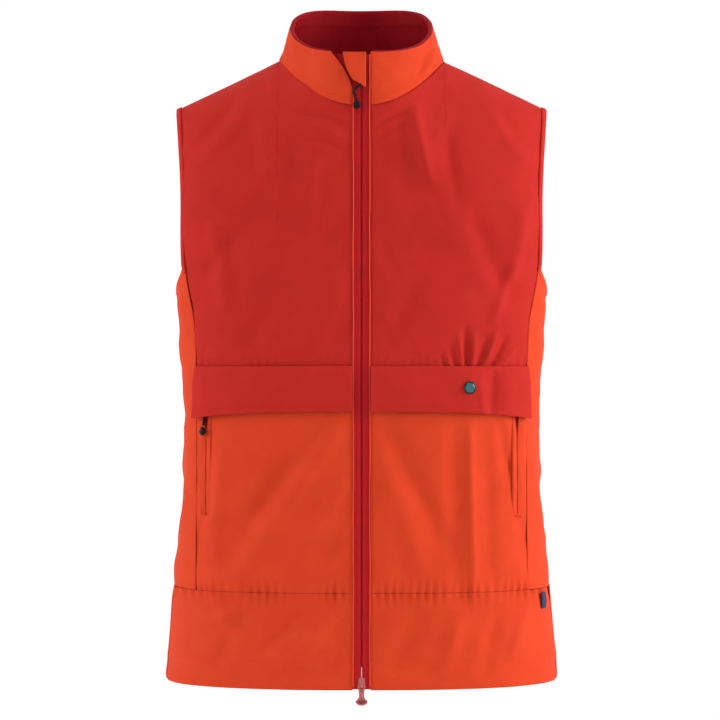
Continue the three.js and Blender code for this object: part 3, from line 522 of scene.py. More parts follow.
def show(name, shape, skin, body, replaced=()):
    """Turns a bmesh in metres into a smooth piece that rides on a body."""
    mesh = bpy.data.meshes.new(name)
    shape.to_mesh(mesh)
    shape.free()
    mesh.materials.append(skin)
    mesh.shade_smooth()
    piece = bpy.data.objects.new(name, mesh)
    bpy.context.scene.collection.objects.link(piece)
    if body:
        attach(piece, body)
    if replaced:
        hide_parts(*replaced)
    return piece


def crowd(t, share=0.55):
    """Rows sit closer together near both seams."""
    return t + (t * t * (3 - 2 * t) - t) * share


def flat_pattern(shape, across, along):
    """Keeps each point's place in the flat cloth, in metres, and returns the cut's size."""
    layer = shape.loops.layers.uv.new("cloth")
    area = 0.0
    for face in shape.faces:
        spots = [(across[loop.vert.index] * MM, along[loop.vert.index] * MM) for loop in face.loops]
        for loop, spot in zip(face.loops, spots):
            loop[layer].uv = spot
        turned = spots[1:] + spots[:1]
        area += abs(sum(a[0] * b[1] - b[0] * a[1] for a, b in zip(spots, turned))) / 2
    return np.ptp(across) * MM, np.ptp(along) * MM, area


BODY_MIDDLE = np.array([0.0, 0.0, -340.0])
NARROWEST_SHEET = 0.01


def face_outward(shape, middle_point=BODY_MIDDLE):
    """Turns the faces round if most of them look towards the middle of the body."""
    shape.normal_update()
    centre = Vector(middle_point * MM)
    facing = 0.0
    for face in shape.faces:
        facing += (face.calc_center_median() - centre).dot(face.normal) * face.calc_area()
    if facing < 0:
        bmesh.ops.reverse_faces(shape, faces=shape.faces)


def sew(name, columns, rows, bend, skin, replaced=(), body="vest", thick=0.9,
        pattern=None, middle_point=BODY_MIDDLE, crowding=0.55, blended=None):
    """One cloth piece. bend(u, v) gives its points and its place in the flat cloth."""
    shape = bmesh.new()
    bmesh.ops.create_grid(shape, x_segments=columns, y_segments=rows, size=0.5)
    bmesh.ops.translate(shape, verts=shape.verts, vec=(0.5, 0.5, 0))
    if pattern:
        pattern(shape)
    shape.verts.index_update()
    corners = np.array([vert.co for vert in shape.verts])
    points, across, along = bend(crowd(corners[:, 0], crowding), crowd(corners[:, 1], crowding))
    for vert, point in zip(shape.verts, points):
        vert.co = point * MM
    width, length, area = flat_pattern(shape, across, along)
    face_outward(shape, middle_point)
    piece = show(name, shape, skin, None if blended else body, replaced)
    cloth = piece.modifiers.new("cloth_thickness", "SOLIDIFY")
    cloth.thickness = thick * MM
    cloth.offset = -1
    if blended:
        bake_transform(piece)
    if min(width, length) > NARROWEST_SHEET:
        min(area, width * length)
    print(f"{name}: {width * 1000:.0f} x {length * 1000:.0f} mm, {len(piece.data.polygons)} faces")
    return piece


# %% Lengths in the flat cloth and the roll at a seam
front_steps = np.linspace(0, 216, 400)
front_line = at_level(-1, front_steps, -430.0 + 0 * front_steps)
front_line = front_line[np.isfinite(front_line).all(1)]
front_arc = np.concatenate([[0], np.cumsum(np.linalg.norm(np.diff(front_line, axis=0), axis=1))])


def flat_x(x):
    """Cloth length round the body from the zip to a place x on the front."""
    return np.sign(x) * np.interp(np.abs(x), front_steps[: len(front_arc)], front_arc)


angle_steps = np.linspace(0, 2 * math.pi, 721)
ring = tube(angle_steps, np.full(721, -430.0))
ring_arc = np.concatenate([[0], np.cumsum(np.linalg.norm(np.diff(ring, axis=0), axis=1))])


def flat_angle(angle):
    return np.interp(angle % (2 * math.pi), angle_steps, ring_arc)


SEAM_DEPTH = 0.5


def seam_roll(distance, depth=0.35, reach=1.8):
    """Cloth dips where it turns into a seam."""
    return -SEAM_DEPTH * depth * np.exp(-((distance / reach) ** 2))


def both_rolls(u, width, depth=0.35, reach=1.8):
    """The roll at both side edges of a piece this wide."""
    return seam_roll(u * width, depth, reach) + seam_roll((1 - u) * width, depth, reach)


def mix(a, b, t):
    return a + (b - a) * t


print("half ring at the waist:", round(float(flat_angle(math.pi))), "mm")

# %% [markdown]
# The yoke is the dark red cloth over the chest and shoulders. Each front half runs from the
# zip to the armhole and up over the shoulder, where it meets the back yoke. A column of the
# grid is kept at the point where collar and shoulder meet, so that corner stays sharp.
# %% Yoke
YOKE, HEM_SEAM, FRONT_EDGE = -340.0, -584.0, 9.8
SEAM_LAP = 0.15
NECK_BEND, FRONT_NECK_DROP, BACK_NECK_DROP = 2.2, 56.0, 12.0


def neckline(side, x):
    share = np.clip(np.abs(x) / NECK_HALF, 0, 1) ** NECK_BEND
    return -(FRONT_NECK_DROP if side < 0 else BACK_NECK_DROP) * (1 - share)


def top_run(side, x):
    inside = run_at(ridge(x) - neckline(side, x))
    return np.where(np.abs(x) < NECK_HALF, inside, 0) + 0.2


def upper_grid(side, u, v, stops, bottom, crowding=1.4):
    """Place x and run of a panel that reaches from a level up to the neckline and shoulder."""
    x = np.interp(u, *zip(*stops(np.array(bottom))))
    for _ in range(5):
        run = mix(top_run(side, x), run_at(ridge(x) - bottom), (1 - v) ** crowding)
        level = ridge(x) - drop_at(run)
        shares, places = zip(*stops(level))
        x = np.empty_like(u)
        for i in range(len(shares) - 1):
            a, b = shares[i], shares[i + 1]
            inside = (u >= a) if i == len(shares) - 2 else (u >= a) & (u < b)
            t = np.clip((u - a) / (b - a), 0, 1)
            span = mix(places[i] + 0 * u, places[i + 1] + 0 * u, t)
            x = np.where(inside, span, x)
    return x, run, level


def yoke_lap(level):
    """How far the yoke reaches under the armhole binding, or over the side seam below it."""
    return np.where(level > UNDERARM + 12, 1.5, SEAM_LAP)


def yoke_front_bend(hand):
    def stops(level):
        return [(0, FRONT_EDGE), (0.44, NECK_HALF), (1, armhole(level) + yoke_lap(level))]

    def bend(u, v):
        x, run, z = upper_grid(-1, u, v, stops, YOKE - 1.5)
        edges = seam_roll(x - FRONT_EDGE, 0.7, 1.4) + seam_roll(z - YOKE, 0.9, 2.0)
        edges = edges + seam_roll(run - top_run(-1, x), 0.9) + seam_roll(armhole(z) - x, 0.8, 1.5)
        out = edges + front_folds(hand * x, z) * np.clip(run / 30, 0, 1)
        points = on_torso(-1, x, run, out) * (hand, 1, 1)
        return points, hand * flat_x(x), -run

    return bend


def back_stops(level):
    edge = armhole(level) + yoke_lap(level)
    return [(0, -edge), (0.29, -NECK_HALF), (0.71, NECK_HALF), (1, edge)]


def back_folds(x, z):
    lines = [((x0, z0), (x1, z1), w, h, 0) for x0, z0, x1, z1, w, h in (
        (-150, -240, -90, -120, 12, -2.0), (150, -235, 95, -110, 12, -2.2), (-60, -330, -20, -200, 16, 1.8),
        (70, -330, 40, -180, 16, 1.8), (-110, -560, -50, -370, 16, 3.0), (120, -570, 60, -380, 15, 3.0),
        (0, -580, 10, -400, 18, -3.0), (-160, -560, -120, -400, 12, -2.4), (160, -540, 150, -400, 12, 2.0))]
    return FOLD_SIZE * creases(x, z, lines) + 2.4 * ripple(x, z, 70, 9.1) + 0.8 * ripple(x, z, 20, 4.4)


def yoke_back_bend(u, v):
    x, run, z = upper_grid(1, u, v, back_stops, YOKE - 0.3)
    edges = seam_roll(z - YOKE, 0.9, 2.0) + seam_roll(run - top_run(1, x), 0.9)
    out = edges + seam_roll(armhole(z) - np.abs(x), 0.8, 1.5) + back_folds(x, z) * np.clip(run / 40, 0, 1)
    return on_torso(1, x, run, out), x, -run


for hand, word in bodies_of_left.items():
    sew(f"chest_yoke_{word}", 92, 150, yoke_front_bend(hand), yoke_cloth, [f"front_yoke_{word}"])
sew("back_yoke_cloth", 150, 110, yoke_back_bend, yoke_cloth, ["back_yoke"])

# %% [markdown]
# Below the yoke the shell is orange. The front panels have a slot for the hand pocket: it
# is cut in the flat grid before the cloth is bent, as a tailor cuts a welt before sewing.
# %% Lower panels
POCKET_X, POCKET_TOP, POCKET_LENGTH, SLOT_HALF = 170.0, -352.0, 150.0, 4.9


def front_x(u, z, inner=FRONT_EDGE):
    return mix(inner, armhole(z) + SEAM_LAP, u)


def pocket_slot(shape):
    """Cuts the slot out of the flat panel, whose sides run from 0 to 1."""
    low_z, high_z = HEM_SEAM, YOKE - 0.6
    ends = [(POCKET_TOP - POCKET_LENGTH - low_z) / (high_z - low_z), (POCKET_TOP - low_z) / (high_z - low_z)]
    width = float(armhole(-430.0)) - FRONT_EDGE
    sides = [(POCKET_X + s * SLOT_HALF - FRONT_EDGE) / width for s in (-1, 1)]
    for axis, values in ((0, sides), (1, ends)):
        for value in values:
            place = [0.0, 0.0, 0.0]
            place[axis] = uncrowd(value)
            normal = [float(axis == 0), float(axis == 1), 0.0]
            everything = shape.verts[:] + shape.edges[:] + shape.faces[:]
            bmesh.ops.bisect_plane(shape, geom=everything, plane_co=place, plane_no=normal)
    inside = [
        face for face in shape.faces
        if uncrowd(sides[0]) < face.calc_center_median().x < uncrowd(sides[1])
        and uncrowd(ends[0]) < face.calc_center_median().y < uncrowd(ends[1])
    ]
    bmesh.ops.delete(shape, geom=inside, context="FACES")


def uncrowd(value, share=0.55):
    """The place on the plain grid that crowd() moves to this value."""
    steps = np.linspace(0, 1, 2001)
    return float(np.interp(value, crowd(steps, share), steps))


def front_panel_bend(hand):
    def bend(u, v):
        z = mix(HEM_SEAM, YOKE - 0.6, v)
        x = front_x(u, z)
        edges = seam_roll(x - FRONT_EDGE, 0.7, 1.4) + seam_roll(z - HEM_SEAM) + seam_roll(armhole(z) - x)
        near = np.clip(np.hypot(np.abs(x - POCKET_X) / 14, np.maximum(np.abs(z + 427) - 70, 0) / 12), 0, 1)
        out = edges + front_folds(hand * x, z) * near
        return at_level(-1, x, z, out) * (hand, 1, 1), hand * flat_x(x), z

    return bend


def front_seam_angle(z):
    return angle_at(-1, armhole(z), z)


def back_seam_angle(z):
    return angle_at(1, armhole(z), z)


def back_panel_bend(u, v):
    z = mix(HEM_SEAM, YOKE - 0.3, v)
    angle = mix(back_seam_angle(z), 2 * math.pi - back_seam_angle(z), u)
    x = tube(angle, z)[..., 0]
    edges = seam_roll(z - HEM_SEAM) + seam_roll(z - YOKE) + both_rolls(u, 500, 1.1, 3)
    return on_tube(angle, z, edges + back_folds(x, z)), flat_angle(angle), z


def underarm_edge(u):
    return UNDERARM + 27 * (2 * u - 1) ** 2


def side_folds(u, z, hand):
    waist_pull = 3.0 * np.exp(-(((z + 470) / 40) ** 2)) * np.sin(u * 9 + z / 40)
    slow = 2.6 * ripple(u * 90, z, 34, 3.0 + hand)
    quick = 0.9 * ripple(u * 90, z, 15, 6.0)
    return (waist_pull + slow + quick) * np.sin(u * math.pi)


def side_panel_bend(hand):
    def bend(u, v):
        z = mix(HEM_SEAM, underarm_edge(u), v)
        angle = mix(front_seam_angle(z), back_seam_angle(z), u)
        edges = both_rolls(u, 120) + seam_roll(z - HEM_SEAM) + seam_roll(underarm_edge(u) - z)
        points = on_tube(angle, z, edges + side_folds(u, z, hand)) * (hand, 1, 1)
        return points, hand * flat_angle(angle), z

    return bend


for hand, word in bodies_of_left.items():
    sew(f"skirt_front_{word}", 92, 108, front_panel_bend(hand), shell_cloth,
        [f"front_panel_{word}"], pattern=pocket_slot)
    sew(f"side_cloth_{word}", 44, 110, side_panel_bend(hand), shell_cloth,
        [f"side_panel_{word}"])
sew("skirt_back", 150, 84, back_panel_bend, shell_cloth, ["back_panel"])

# %% [markdown]
# A deep band finishes the hem, folded up inside and stitched. It is split at each side, and
# the cloth rolls in a little at the slit and along the lower edge.
# %% Hem bands
SLIT_FRONT, SLIT_BACK = math.radians(82), math.radians(83)
TURN_UP = -657.0


def hem_edges(z):
    turn_up = 0.5 * np.exp(-(((z - TURN_UP + 3) / 3) ** 2))
    return seam_roll(z - HEM, 1.6, 3.0) + seam_roll(z - HEM_SEAM) + turn_up


def front_hem_bend(hand):
    def bend(u, v):
        z = mix(HEM, HEM_SEAM - 0.2, v)
        angle = mix(angle_at(-1, np.full_like(z, FRONT_EDGE), z), SLIT_FRONT, u)
        x = tube(angle, z)[..., 0]
        slit = seam_roll((1 - u) * 270, 1.4, 3.0)
        out = hem_edges(z) + slit + front_folds(hand * x, z) + seam_roll(x - FRONT_EDGE, 0.7, 1.4)
        return on_tube(angle, z, out) * (hand, 1, 1), hand * flat_angle(angle), z

    return bend


def back_hem_bend(u, v):
    z = mix(HEM, HEM_SEAM - 0.2, v)
    angle = mix(SLIT_BACK, 2 * math.pi - SLIT_BACK, u)
    x = tube(angle, z)[..., 0]
    folds = 0.7 * back_folds(x, z) + seam_pucker(x, z, HEM_SEAM, 9, 1.0)
    out = hem_edges(z) + both_rolls(u, 560, 1.4, 3.0) + folds
    return on_tube(angle, z, out), flat_angle(angle), z


for hand, word in bodies_of_left.items():
    sew(f"hem_front_{word}", 118, 52, front_hem_bend(hand), shell_cloth,
        [f"front_hem_band_{word}"])
sew("hem_back", 170, 40, back_hem_bend, shell_cloth, ["back_hem_band"])

# %% [markdown]
# The lining hangs a finger's breadth inside the shell, and is seen through the neck, the
# armholes and from below. Being smoother and looser, it has slower, rounder folds. The
# left front's lining reaches a little past the zip and closes the gap behind it.
# %% Lining
LINING_OUTER, LINING_HEM = 10.6, -663.0
LINING_EDGES = {1: -7.0, -1: 14.0}


def lining_folds(x, z, seed):
    return 1.5 * ripple(x, z, 40, seed) + 0.5 * ripple(x, z, 14, seed + 3)


def lining_ease(x, z, run):
    """The folds die away at the shoulder and the armhole, where the lining is sewn."""
    return np.clip(run / 30, 0, 1) * np.clip((armhole(z) - np.abs(x)) / 10, 0, 1)


def lining_front_bend(hand):
    def stops(level):
        return [(0, LINING_EDGES[hand]), (0.42, NECK_HALF), (1, armhole(level) - 1.0)]

    def bend(u, v):
        x, run, z = upper_grid(-1, u, v, stops, LINING_HEM)
        fold = lining_folds(hand * x, z, 11.0) * lining_ease(x, z, run)
        return on_torso(-1, x, run, fold - LINING_OUTER) * (hand, 1, 1), hand * flat_x(x), -run

    return bend


def lining_back_bend(u, v):
    x, run, z = upper_grid(1, u, v, back_stops, LINING_HEM)
    fold = lining_folds(x, z, 15.0) * lining_ease(x, z, run)
    return on_torso(1, x, run, fold - LINING_OUTER), x, -run


def lining_side_bend(hand):
    def bend(u, v):
        z = mix(LINING_HEM, underarm_edge(u), v)
        angle = mix(front_seam_angle(z), back_seam_angle(z), u)
        fold = lining_folds(u * 110, z, 21.0) * np.sin(u * math.pi)
        return on_tube(angle, z, fold - LINING_OUTER) * (hand, 1, 1), hand * flat_angle(angle), z

    return bend


def hang_lining(name, columns, rows, bend, node):
    sew(name, columns, rows, bend, lining_cloth, [node], thick=0.5)


for hand, word in bodies_of_left.items():
    hang_lining(f"lining_front_{word}", 60, 120, lining_front_bend(hand), f"front_lining_{word}")
    hang_lining(f"lining_side_{word}", 30, 70, lining_side_bend(hand), f"side_lining_{word}")
hang_lining("lining_back", 110, 120, lining_back_bend, "back_lining")

# %% [markdown]
# Each front yoke ends in a storm flap that hangs free over the skirt. It is sewn on along
# its top. Here its cloth is baked where it lies and rides on no body, and the two seam
# points given with it are not used.
# %% Storm flaps
FLAP_TOP, FLAP_DEPTH, FLAP_DIP = -340.4, 48.0, 8.0
SNAP_X, SNAP_Z = 115.0, -364.0


def flap_edge(u):
    return FLAP_TOP - 1.6 - FLAP_DEPTH - FLAP_DIP * u**4


def flap_stand(x, z, edge):
    """Height off the skirt: softly out of the seam, and fuller over the snap and pocket pull."""
    drop = (FLAP_TOP - z) / (FLAP_TOP - edge)
    soft = np.clip(drop * 3.5, 0, 1)
    full = np.exp(-(((x - SNAP_X) / 15) ** 2)) + np.exp(-(((x - POCKET_X) / 13) ** 2))
    return 0.7 + 1.9 * soft * (2 - soft) + 1.9 * drop + 1.7 * full * np.clip(drop * 3, 0, 1)


def flap_wave(x, z):
    return 0.7 * ripple(x, z, 36, 17.0) * np.clip((FLAP_TOP - z) / 20, 0, 1)


def flap_bend(hand):
    def bend(u, v):
        edge = flap_edge(u)
        z = mix(edge, FLAP_TOP, v)
        x = front_x(u, z)
        folds = creases(hand * x, z, FLAP_CREASES) + seam_pucker(hand * x, z, FLAP_TOP, 7, 0.5)
        wave = flap_wave(hand * x, z)
        free = np.clip((FLAP_TOP - z) / 6, 0, 1)
        out = flap_stand(x, z, edge) + 1.0 + (folds + wave) * free - 0.5 * np.exp(-((z - edge) / 2) ** 2)
        return at_level(-1, x, z, out) * (hand, 1, 1), hand * flat_x(x), z

    return bend


def flap_seam_point(hand, level):
    return tuple(at_level(-1, np.array([SNAP_X]), np.array([level]), 4.0)[0] * (hand, 1, 1) * MM)


for hand, word in bodies_of_left.items():
    blend_over = ("vest", f"flap_{word}", flap_seam_point(hand, -341.0), flap_seam_point(hand, -355.0))
    sew(f"flap_cloth_{word}", 96, 40, flap_bend(hand), yoke_cloth, [f"storm_flap_{word}"],
        blended=blend_over, crowding=0.4)

# %% [markdown]
# The stand collar is one ring of cloth from the neckline up to a smaller, higher ring. Its
# outer cloth ends at the top edge, and the dark lining rolls over it from inside. On the
# wearer's right the front corner is turned back a little, so the tape shows beside it.
# %% Collar
COLLAR_TOP_HALF, COLLAR_TOP_DEPTH, COLLAR_TOP_BACK, COLLAR_BACK_RISE = 79.0, 81.0, 11.0, 63.0
ROLL_RADIUS, BAND_RADIUS = 1.6, 2.4


def collar_base(angle):
    x = NECK_HALF * np.sin(angle)
    front = at_level(-1, x, neckline(-1, x))
    back = at_level(1, x, neckline(1, x))
    return np.where((np.cos(angle) > 0)[..., None], front, back)


def collar_top(angle):
    share = (1 - np.cos(angle)) / 2
    rise = COLLAR_BACK_RISE * (share * share * (3 - 2 * share)) ** 0.8
    return stack(COLLAR_TOP_HALF * np.sin(angle), -COLLAR_TOP_BACK - COLLAR_TOP_DEPTH * np.cos(angle), rise)


def collar_point(angle, v, out):
    base, top = collar_base(angle), collar_top(angle)
    seam = 1.5 / np.linalg.norm(top - base, axis=-1)
    outward = stack(np.sin(angle), -np.cos(angle), 0 * angle)
    share = np.asarray(mix(seam, 1, v))[..., None]
    return mix(base, top, share) + outward * np.asarray(out)[..., None]


def collar_end(inset, v, opened):
    """Angle of a front edge that stands this far from the zip line at a share of the height."""
    half = mix(NECK_HALF, COLLAR_TOP_HALF, v)
    back = 23 * np.clip(1 - FRONT_NECK_DROP * (1 - v) / 42, 0, 1) ** 1.5 if opened else 0
    return np.arcsin((inset + back) / half)


COLLAR_CREASES = [
    ((58, 4), (92, 44), 5, -1.6, 0), ((70, 0), (104, 36), 5, 1.4, 0),
    ((420, 6), (388, 44), 6, -1.5, 0), ((440, 2), (410, 46), 6, 1.3, 0),
]


def collar_folds(angle, v):
    place = angle * 80
    soft = 1.3 * ripple(place, v * 55, 30, 31.0) + 0.5 * ripple(place, v * 55, 12, 33.0)
    pull = creases(place, v * 50, COLLAR_CREASES)
    return 1.4 * (soft + pull) * np.clip(4 * v, 0.1, 1)


def collar_bend(inset, outer, low, high, folds, rolled):
    """A collar sheet between two shares of its height, with a roll over the top edge."""
    def bend(u, v):
        height = mix(low, high, np.clip(v / rolled, 0, 1))
        left = collar_end(inset, np.clip(height, 0, 1), False)
        right = 2 * math.pi - collar_end(inset, np.clip(height, 0, 1), True)
        angle = mix(left, right, u)
        turn = np.clip((v - rolled) / max(1 - rolled, 1e-6), 0, 1) * math.pi * 0.35
        edge_dip = both_rolls(u, 480, 0.8, 1.6) + seam_roll(height * 55, 0.8, 1.6)
        out = outer + folds(angle, height) + edge_dip - ROLL_RADIUS * (1 - np.cos(turn))
        points = collar_point(angle, height, out)
        points[:, 2] += ROLL_RADIUS * np.sin(turn)
        return points, angle * 84, height * 58 + turn * ROLL_RADIUS

    return bend


def lining_pleats(angle, v):
    band = np.exp(-(((v - 0.8) * 55 / 1.6) ** 2))
    pleats = 0.9 * np.sin(angle * 34 + 2 * np.sin(angle * 5)) * np.clip(1 - v, 0, 1)
    return pleats + ripple(angle * 80, v * 50, 14, 41.0) - band


def collar_lining_bend(u, v):
    height = mix(-0.1, 1.0, np.clip(v / 0.9, 0, 1))
    inside = np.clip(height, 0, 1)
    angle = mix(collar_end(13.0, inside, False), 2 * math.pi - collar_end(13.0, inside, True), u)
    tuck = -6.0 * np.clip(-height / 0.1, 0, 1)
    turn = np.clip((v - 0.9) / 0.1, 0, 1) * math.pi * 0.82
    roll = BAND_RADIUS * (1 - np.cos(turn))
    points = collar_point(angle, height, -4.2 + tuck + 0.6 * lining_pleats(angle, height) + roll)
    points[:, 2] += BAND_RADIUS * np.sin(turn)
    return points, angle * 80, height * 56 + turn * BAND_RADIUS


def facing_bend(u, v):
    height = mix(0.40, 0.975, v)
    angle = -mix(collar_end(10.9, height, False), collar_end(12.0, height, True), u)
    return collar_point(angle, height, -2.3 + 0.4 * np.sin(u * 3)), angle * 84, height * 56


COLLAR_MIDDLE = np.array([0.0, 0.0, -10.0])
sew("collar_cloth", 220, 40, collar_bend(FRONT_EDGE, 0.9, -0.05, 1.0, collar_folds, 0.95),
    shell_cloth, ["collar"], middle_point=COLLAR_MIDDLE, crowding=0.2)
sew("collar_lining_cloth", 240, 34, collar_lining_bend, lining_cloth, ["collar_lining"],
    middle_point=COLLAR_MIDDLE, thick=0.5, crowding=0.2)
sew("collar_corner_facing", 16, 30, facing_bend, lining_cloth, ["collar_facing"],
    middle_point=COLLAR_MIDDLE, thick=0.4, crowding=0.1)

# %% [markdown]
# Everything on the zip is placed in the zip's own frame: across, out of the cloth and up
# along the teeth. The pocket zips and the snap have frames of their own in the same way.
# %% Local frames


def frame_matrix(right, inward, up, origin):
    rows = [[*values] for values in zip(right, inward, up, origin)]
    return Matrix([*rows, [0, 0, 0, 1]])


def moved(matrix, x, n, s):
    """The same frame with its middle moved across, outward and along."""
    return matrix @ Matrix.Translation((x, -n, s))


lean = math.atan(ZIP_LEAN)
zip_frame = frame_matrix((1, 0, 0), (0, math.cos(lean), -math.sin(lean)), (0, math.sin(lean), math.cos(lean)),
                         (0, -FRONT_DEPTH, 0))


def along_zip(z):
    return z * math.hypot(1, ZIP_LEAN)


def pocket_frame():
    top = Vector(at_level(-1, np.array([POCKET_X]), np.array([POCKET_TOP]))[0])
    low = Vector(at_level(-1, np.array([POCKET_X]), np.array([POCKET_TOP - POCKET_LENGTH]))[0])
    up = (top - low).normalized()
    level = np.array([(top.z + low.z) / 2])
    x = np.array([POCKET_X])
    out = Vector(torso_normal(-1, x, run_at(ridge(x) - level))[0])
    across = up.cross(out).normalized()
    inward = up.cross(across).normalized()
    return frame_matrix(across, inward, up, at_level(-1, x, level)[0])


def snap_frame():
    x, z = np.array([SNAP_X]), np.array([SNAP_Z])
    out = Vector(torso_normal(-1, x, run_at(ridge(x) - z))[0])
    across = Vector((0, 0, 1)).cross(out).normalized()
    return frame_matrix(across, -out, across.cross(-out), at_level(-1, x, z)[0])


mirror_x = Matrix.Diagonal((-1, 1, 1, 1))
left_pocket = pocket_frame()
pocket_frames = {"left": left_pocket, "right": mirror_x @ left_pocket}
left_snap = snap_frame()
print("pocket frame at", [round(c, 1) for c in left_pocket.translation])


def placed(matrix, across, out, along):
    """Many points at once, from a local frame to the vest's, all in millimetres."""
    return stack(across, -out, along) @ np.array(matrix.to_3x3()).T + np.array(matrix.translation)


def settle(shape, matrix):
    """Moves a shape drawn in a local frame, in millimetres, to its place in metres."""
    bmesh.ops.transform(shape, matrix=Matrix.Scale(MM, 4) @ matrix, verts=shape.verts)
    bmesh.ops.recalc_face_normals(shape, faces=shape.faces)
    return shape


# %% [markdown]
# Zip tape is drawn flat and folded at its inner edge. Behind it the coil is a row of small
# round teeth, each a stretched ball, and the two rows interlock across the middle.
# %% Tapes, teeth, stops and pins
TAPE_INNER, TAPE_OUTER, TAPE_N, COIL_N = 0.5, 10.5, -2.6, -4.3
TOOTH_PITCH, TOOTH_X = 1.5, 1.25
TOOTH_SIZE = Matrix.Diagonal((3.7, 1.5, 0.92, 1))


def tape_bend(matrix, side, low, high):
    def bend(u, v):
        x = mix(TAPE_INNER, TAPE_OUTER, u)
        s = mix(low, high, v)
        fold = -1.1 * np.exp(-(((x - 0.5) / 0.7) ** 2)) + 0.35 * np.exp(-(((x - 3.4) / 0.8) ** 2))
        return placed(matrix, side * x, TAPE_N + fold, s), side * x, s

    return bend


def teeth(name, matrix, side, low, high, skin, replaced):
    shape = bmesh.new()
    count = int((high - low) / TOOTH_PITCH)
    for i in range(count):
        s = low + (i + (0.25 if side > 0 else 0.75)) * TOOTH_PITCH
        place = Matrix.Translation((side * TOOTH_X, -COIL_N, s)) @ TOOTH_SIZE
        bmesh.ops.create_icosphere(shape, subdivisions=1, radius=0.5, matrix=place)
    return show(name, settle(shape, matrix), skin, "vest", replaced)


def soften(shape, edges, offset, segments=3):
    """Rounds off the given edges."""
    bmesh.ops.bevel(shape, geom=list(edges), offset=offset, segments=segments, affect="EDGES",
                    profile=0.5, material=-1)


def rounded_block(shape, x, n, s, bevel=0.3, segments=3):
    """A block with rounded edges between (low, high) across, outward and along."""
    size = [high - low for low, high in (x, n, s)]
    centre = (sum(x) / 2, -sum(n) / 2, sum(s) / 2)
    place = Matrix.Translation(centre) @ Matrix.Diagonal((*size, 1))
    made = bmesh.ops.create_cube(shape, size=1, matrix=place)
    edges = {edge for vert in made["verts"] for edge in vert.link_edges}
    soften(shape, edges, min(bevel, *(0.45 * c for c in size)), segments)


ZIP_LOW, ZIP_HIGH = along_zip(HEM + 1), along_zip(-2)
PIN_LOW = along_zip(HEM + 2)
STOPS_AND_PINS = {"stop": (ZIP_HIGH - 3, ZIP_HIGH), "pin": (PIN_LOW, PIN_LOW + 20)}
for hand, word in bodies_of_left.items():
    sew(f"front_tape_{word}", 14, 340, tape_bend(zip_frame, hand, ZIP_LOW, ZIP_HIGH), tape_cloth,
        [f"zip_tape_{word}"], thick=0.5, crowding=0.0)
    teeth(f"front_teeth_{word}", zip_frame, hand, PIN_LOW + 12.0, ZIP_HIGH - 3.3, coil_plastic,
          [f"zip_coil_{word}"])
    for label, (low, high) in STOPS_AND_PINS.items():
        block = bmesh.new()
        rounded_block(block, sorted((hand * 0.5, hand * 2.9)), (-5.1, -3.5), (low, high), 0.5)
        show(f"front_zip_{label}_{word}", settle(block, zip_frame), slider_metal, "vest",
             [f"zip_{label}_{word}"])

# %% [markdown]
# A slider is two plates joined by a post, with a small bridge on the front that holds the
# pull. The outline is drawn once, extruded and bevelled; the crown is wider where the two
# halves of the chain part.
# %% Sliders
SLIDER_HALF_LENGTH = 6.0
FRONT_PLATE, BACK_PLATE, PLATE = -2.3, -7.0, 1.4


def slider_outline(wide_up):
    top, low = (4.3, 3.4) if wide_up else (3.4, 4.3)
    half = SLIDER_HALF_LENGTH
    crown = [(top * math.cos(a), half - 2 + 2 * math.sin(a)) for a in np.linspace(0, math.pi, 15)]
    foot = [(-low, -half + 1), (-low + 0.9, -half), (0, -half + 0.5), (low - 0.9, -half), (low, -half + 1)]
    return crown + foot


def plate(shape, outline, low, high, bevel=0.25):
    """A flat outline given thickness outward from low to high, with its rims rounded."""
    rim = [shape.verts.new((x, -low, s)) for x, s in outline]
    face = shape.faces.new(rim)
    grown = bmesh.ops.extrude_face_region(shape, geom=[face])["geom"]
    top = [part for part in grown if isinstance(part, bmesh.types.BMVert)]
    bmesh.ops.translate(shape, verts=top, vec=(0, low - high, 0))
    edges = {edge for vert in rim + top for edge in vert.link_edges
             if abs(edge.verts[0].co.y - edge.verts[1].co.y) < 1e-6}
    soften(shape, edges, bevel)


def slider(name, matrix, wide_up, bail_low, bail_high, replaced, body, skin=None):
    shape = bmesh.new()
    outline = slider_outline(wide_up)
    plate(shape, outline, FRONT_PLATE, FRONT_PLATE + PLATE, 0.4)
    plate(shape, outline, BACK_PLATE, BACK_PLATE + PLATE, 0.35)
    post_end = 5.0 if wide_up else -5.0
    post_start = 2.5 if wide_up else -2.5
    post = sorted((post_start, post_end))
    rounded_block(shape, (-0.45, 0.45), (BACK_PLATE + 1.2, FRONT_PLATE + 0.3), post, 0.2)
    front = FRONT_PLATE + PLATE
    ridge_line = (-1.6, 3.6) if wide_up else (-4.6, 0.6)
    for side in (-1, 1):
        across = sorted((side * 2.0, side * 2.9))
        rounded_block(shape, across, (front - 0.2, front + 0.35), ridge_line, 0.25)
    for leg in (bail_low, bail_high - 1.2):
        rounded_block(shape, (-1, 1), (front - 0.3, front + 2.5), (leg, leg + 1.2), 0.35)
    rounded_block(shape, (-1, 1), (front + 1.8, front + 2.6), (bail_low, bail_high), 0.38, 4)
    return show(name, settle(shape, matrix), skin or slider_metal, body, replaced)


UPPER_S, LOWER_S = along_zip(-30.0), along_zip(HEM + 8)
BAR_N = FRONT_PLATE + PLATE + 0.95
upper_frame = moved(zip_frame, 0, 0, UPPER_S)
lower_frame = moved(zip_frame, 0, 0, LOWER_S)
dark_slider = moulded("slider_dark_metal", shade(26, 28, 31), shade(64, 66, 70), 0.32, 0.7, 0.2)
slider("upper_slider_body_detail", upper_frame, True, -3.4, 3.4, ["upper_slider"],
       "upper_slider_body", dark_slider)
slider("lower_slider_body_detail", lower_frame, False, -5.0, 1.4, ["lower_slider"], "lower_slider_body")

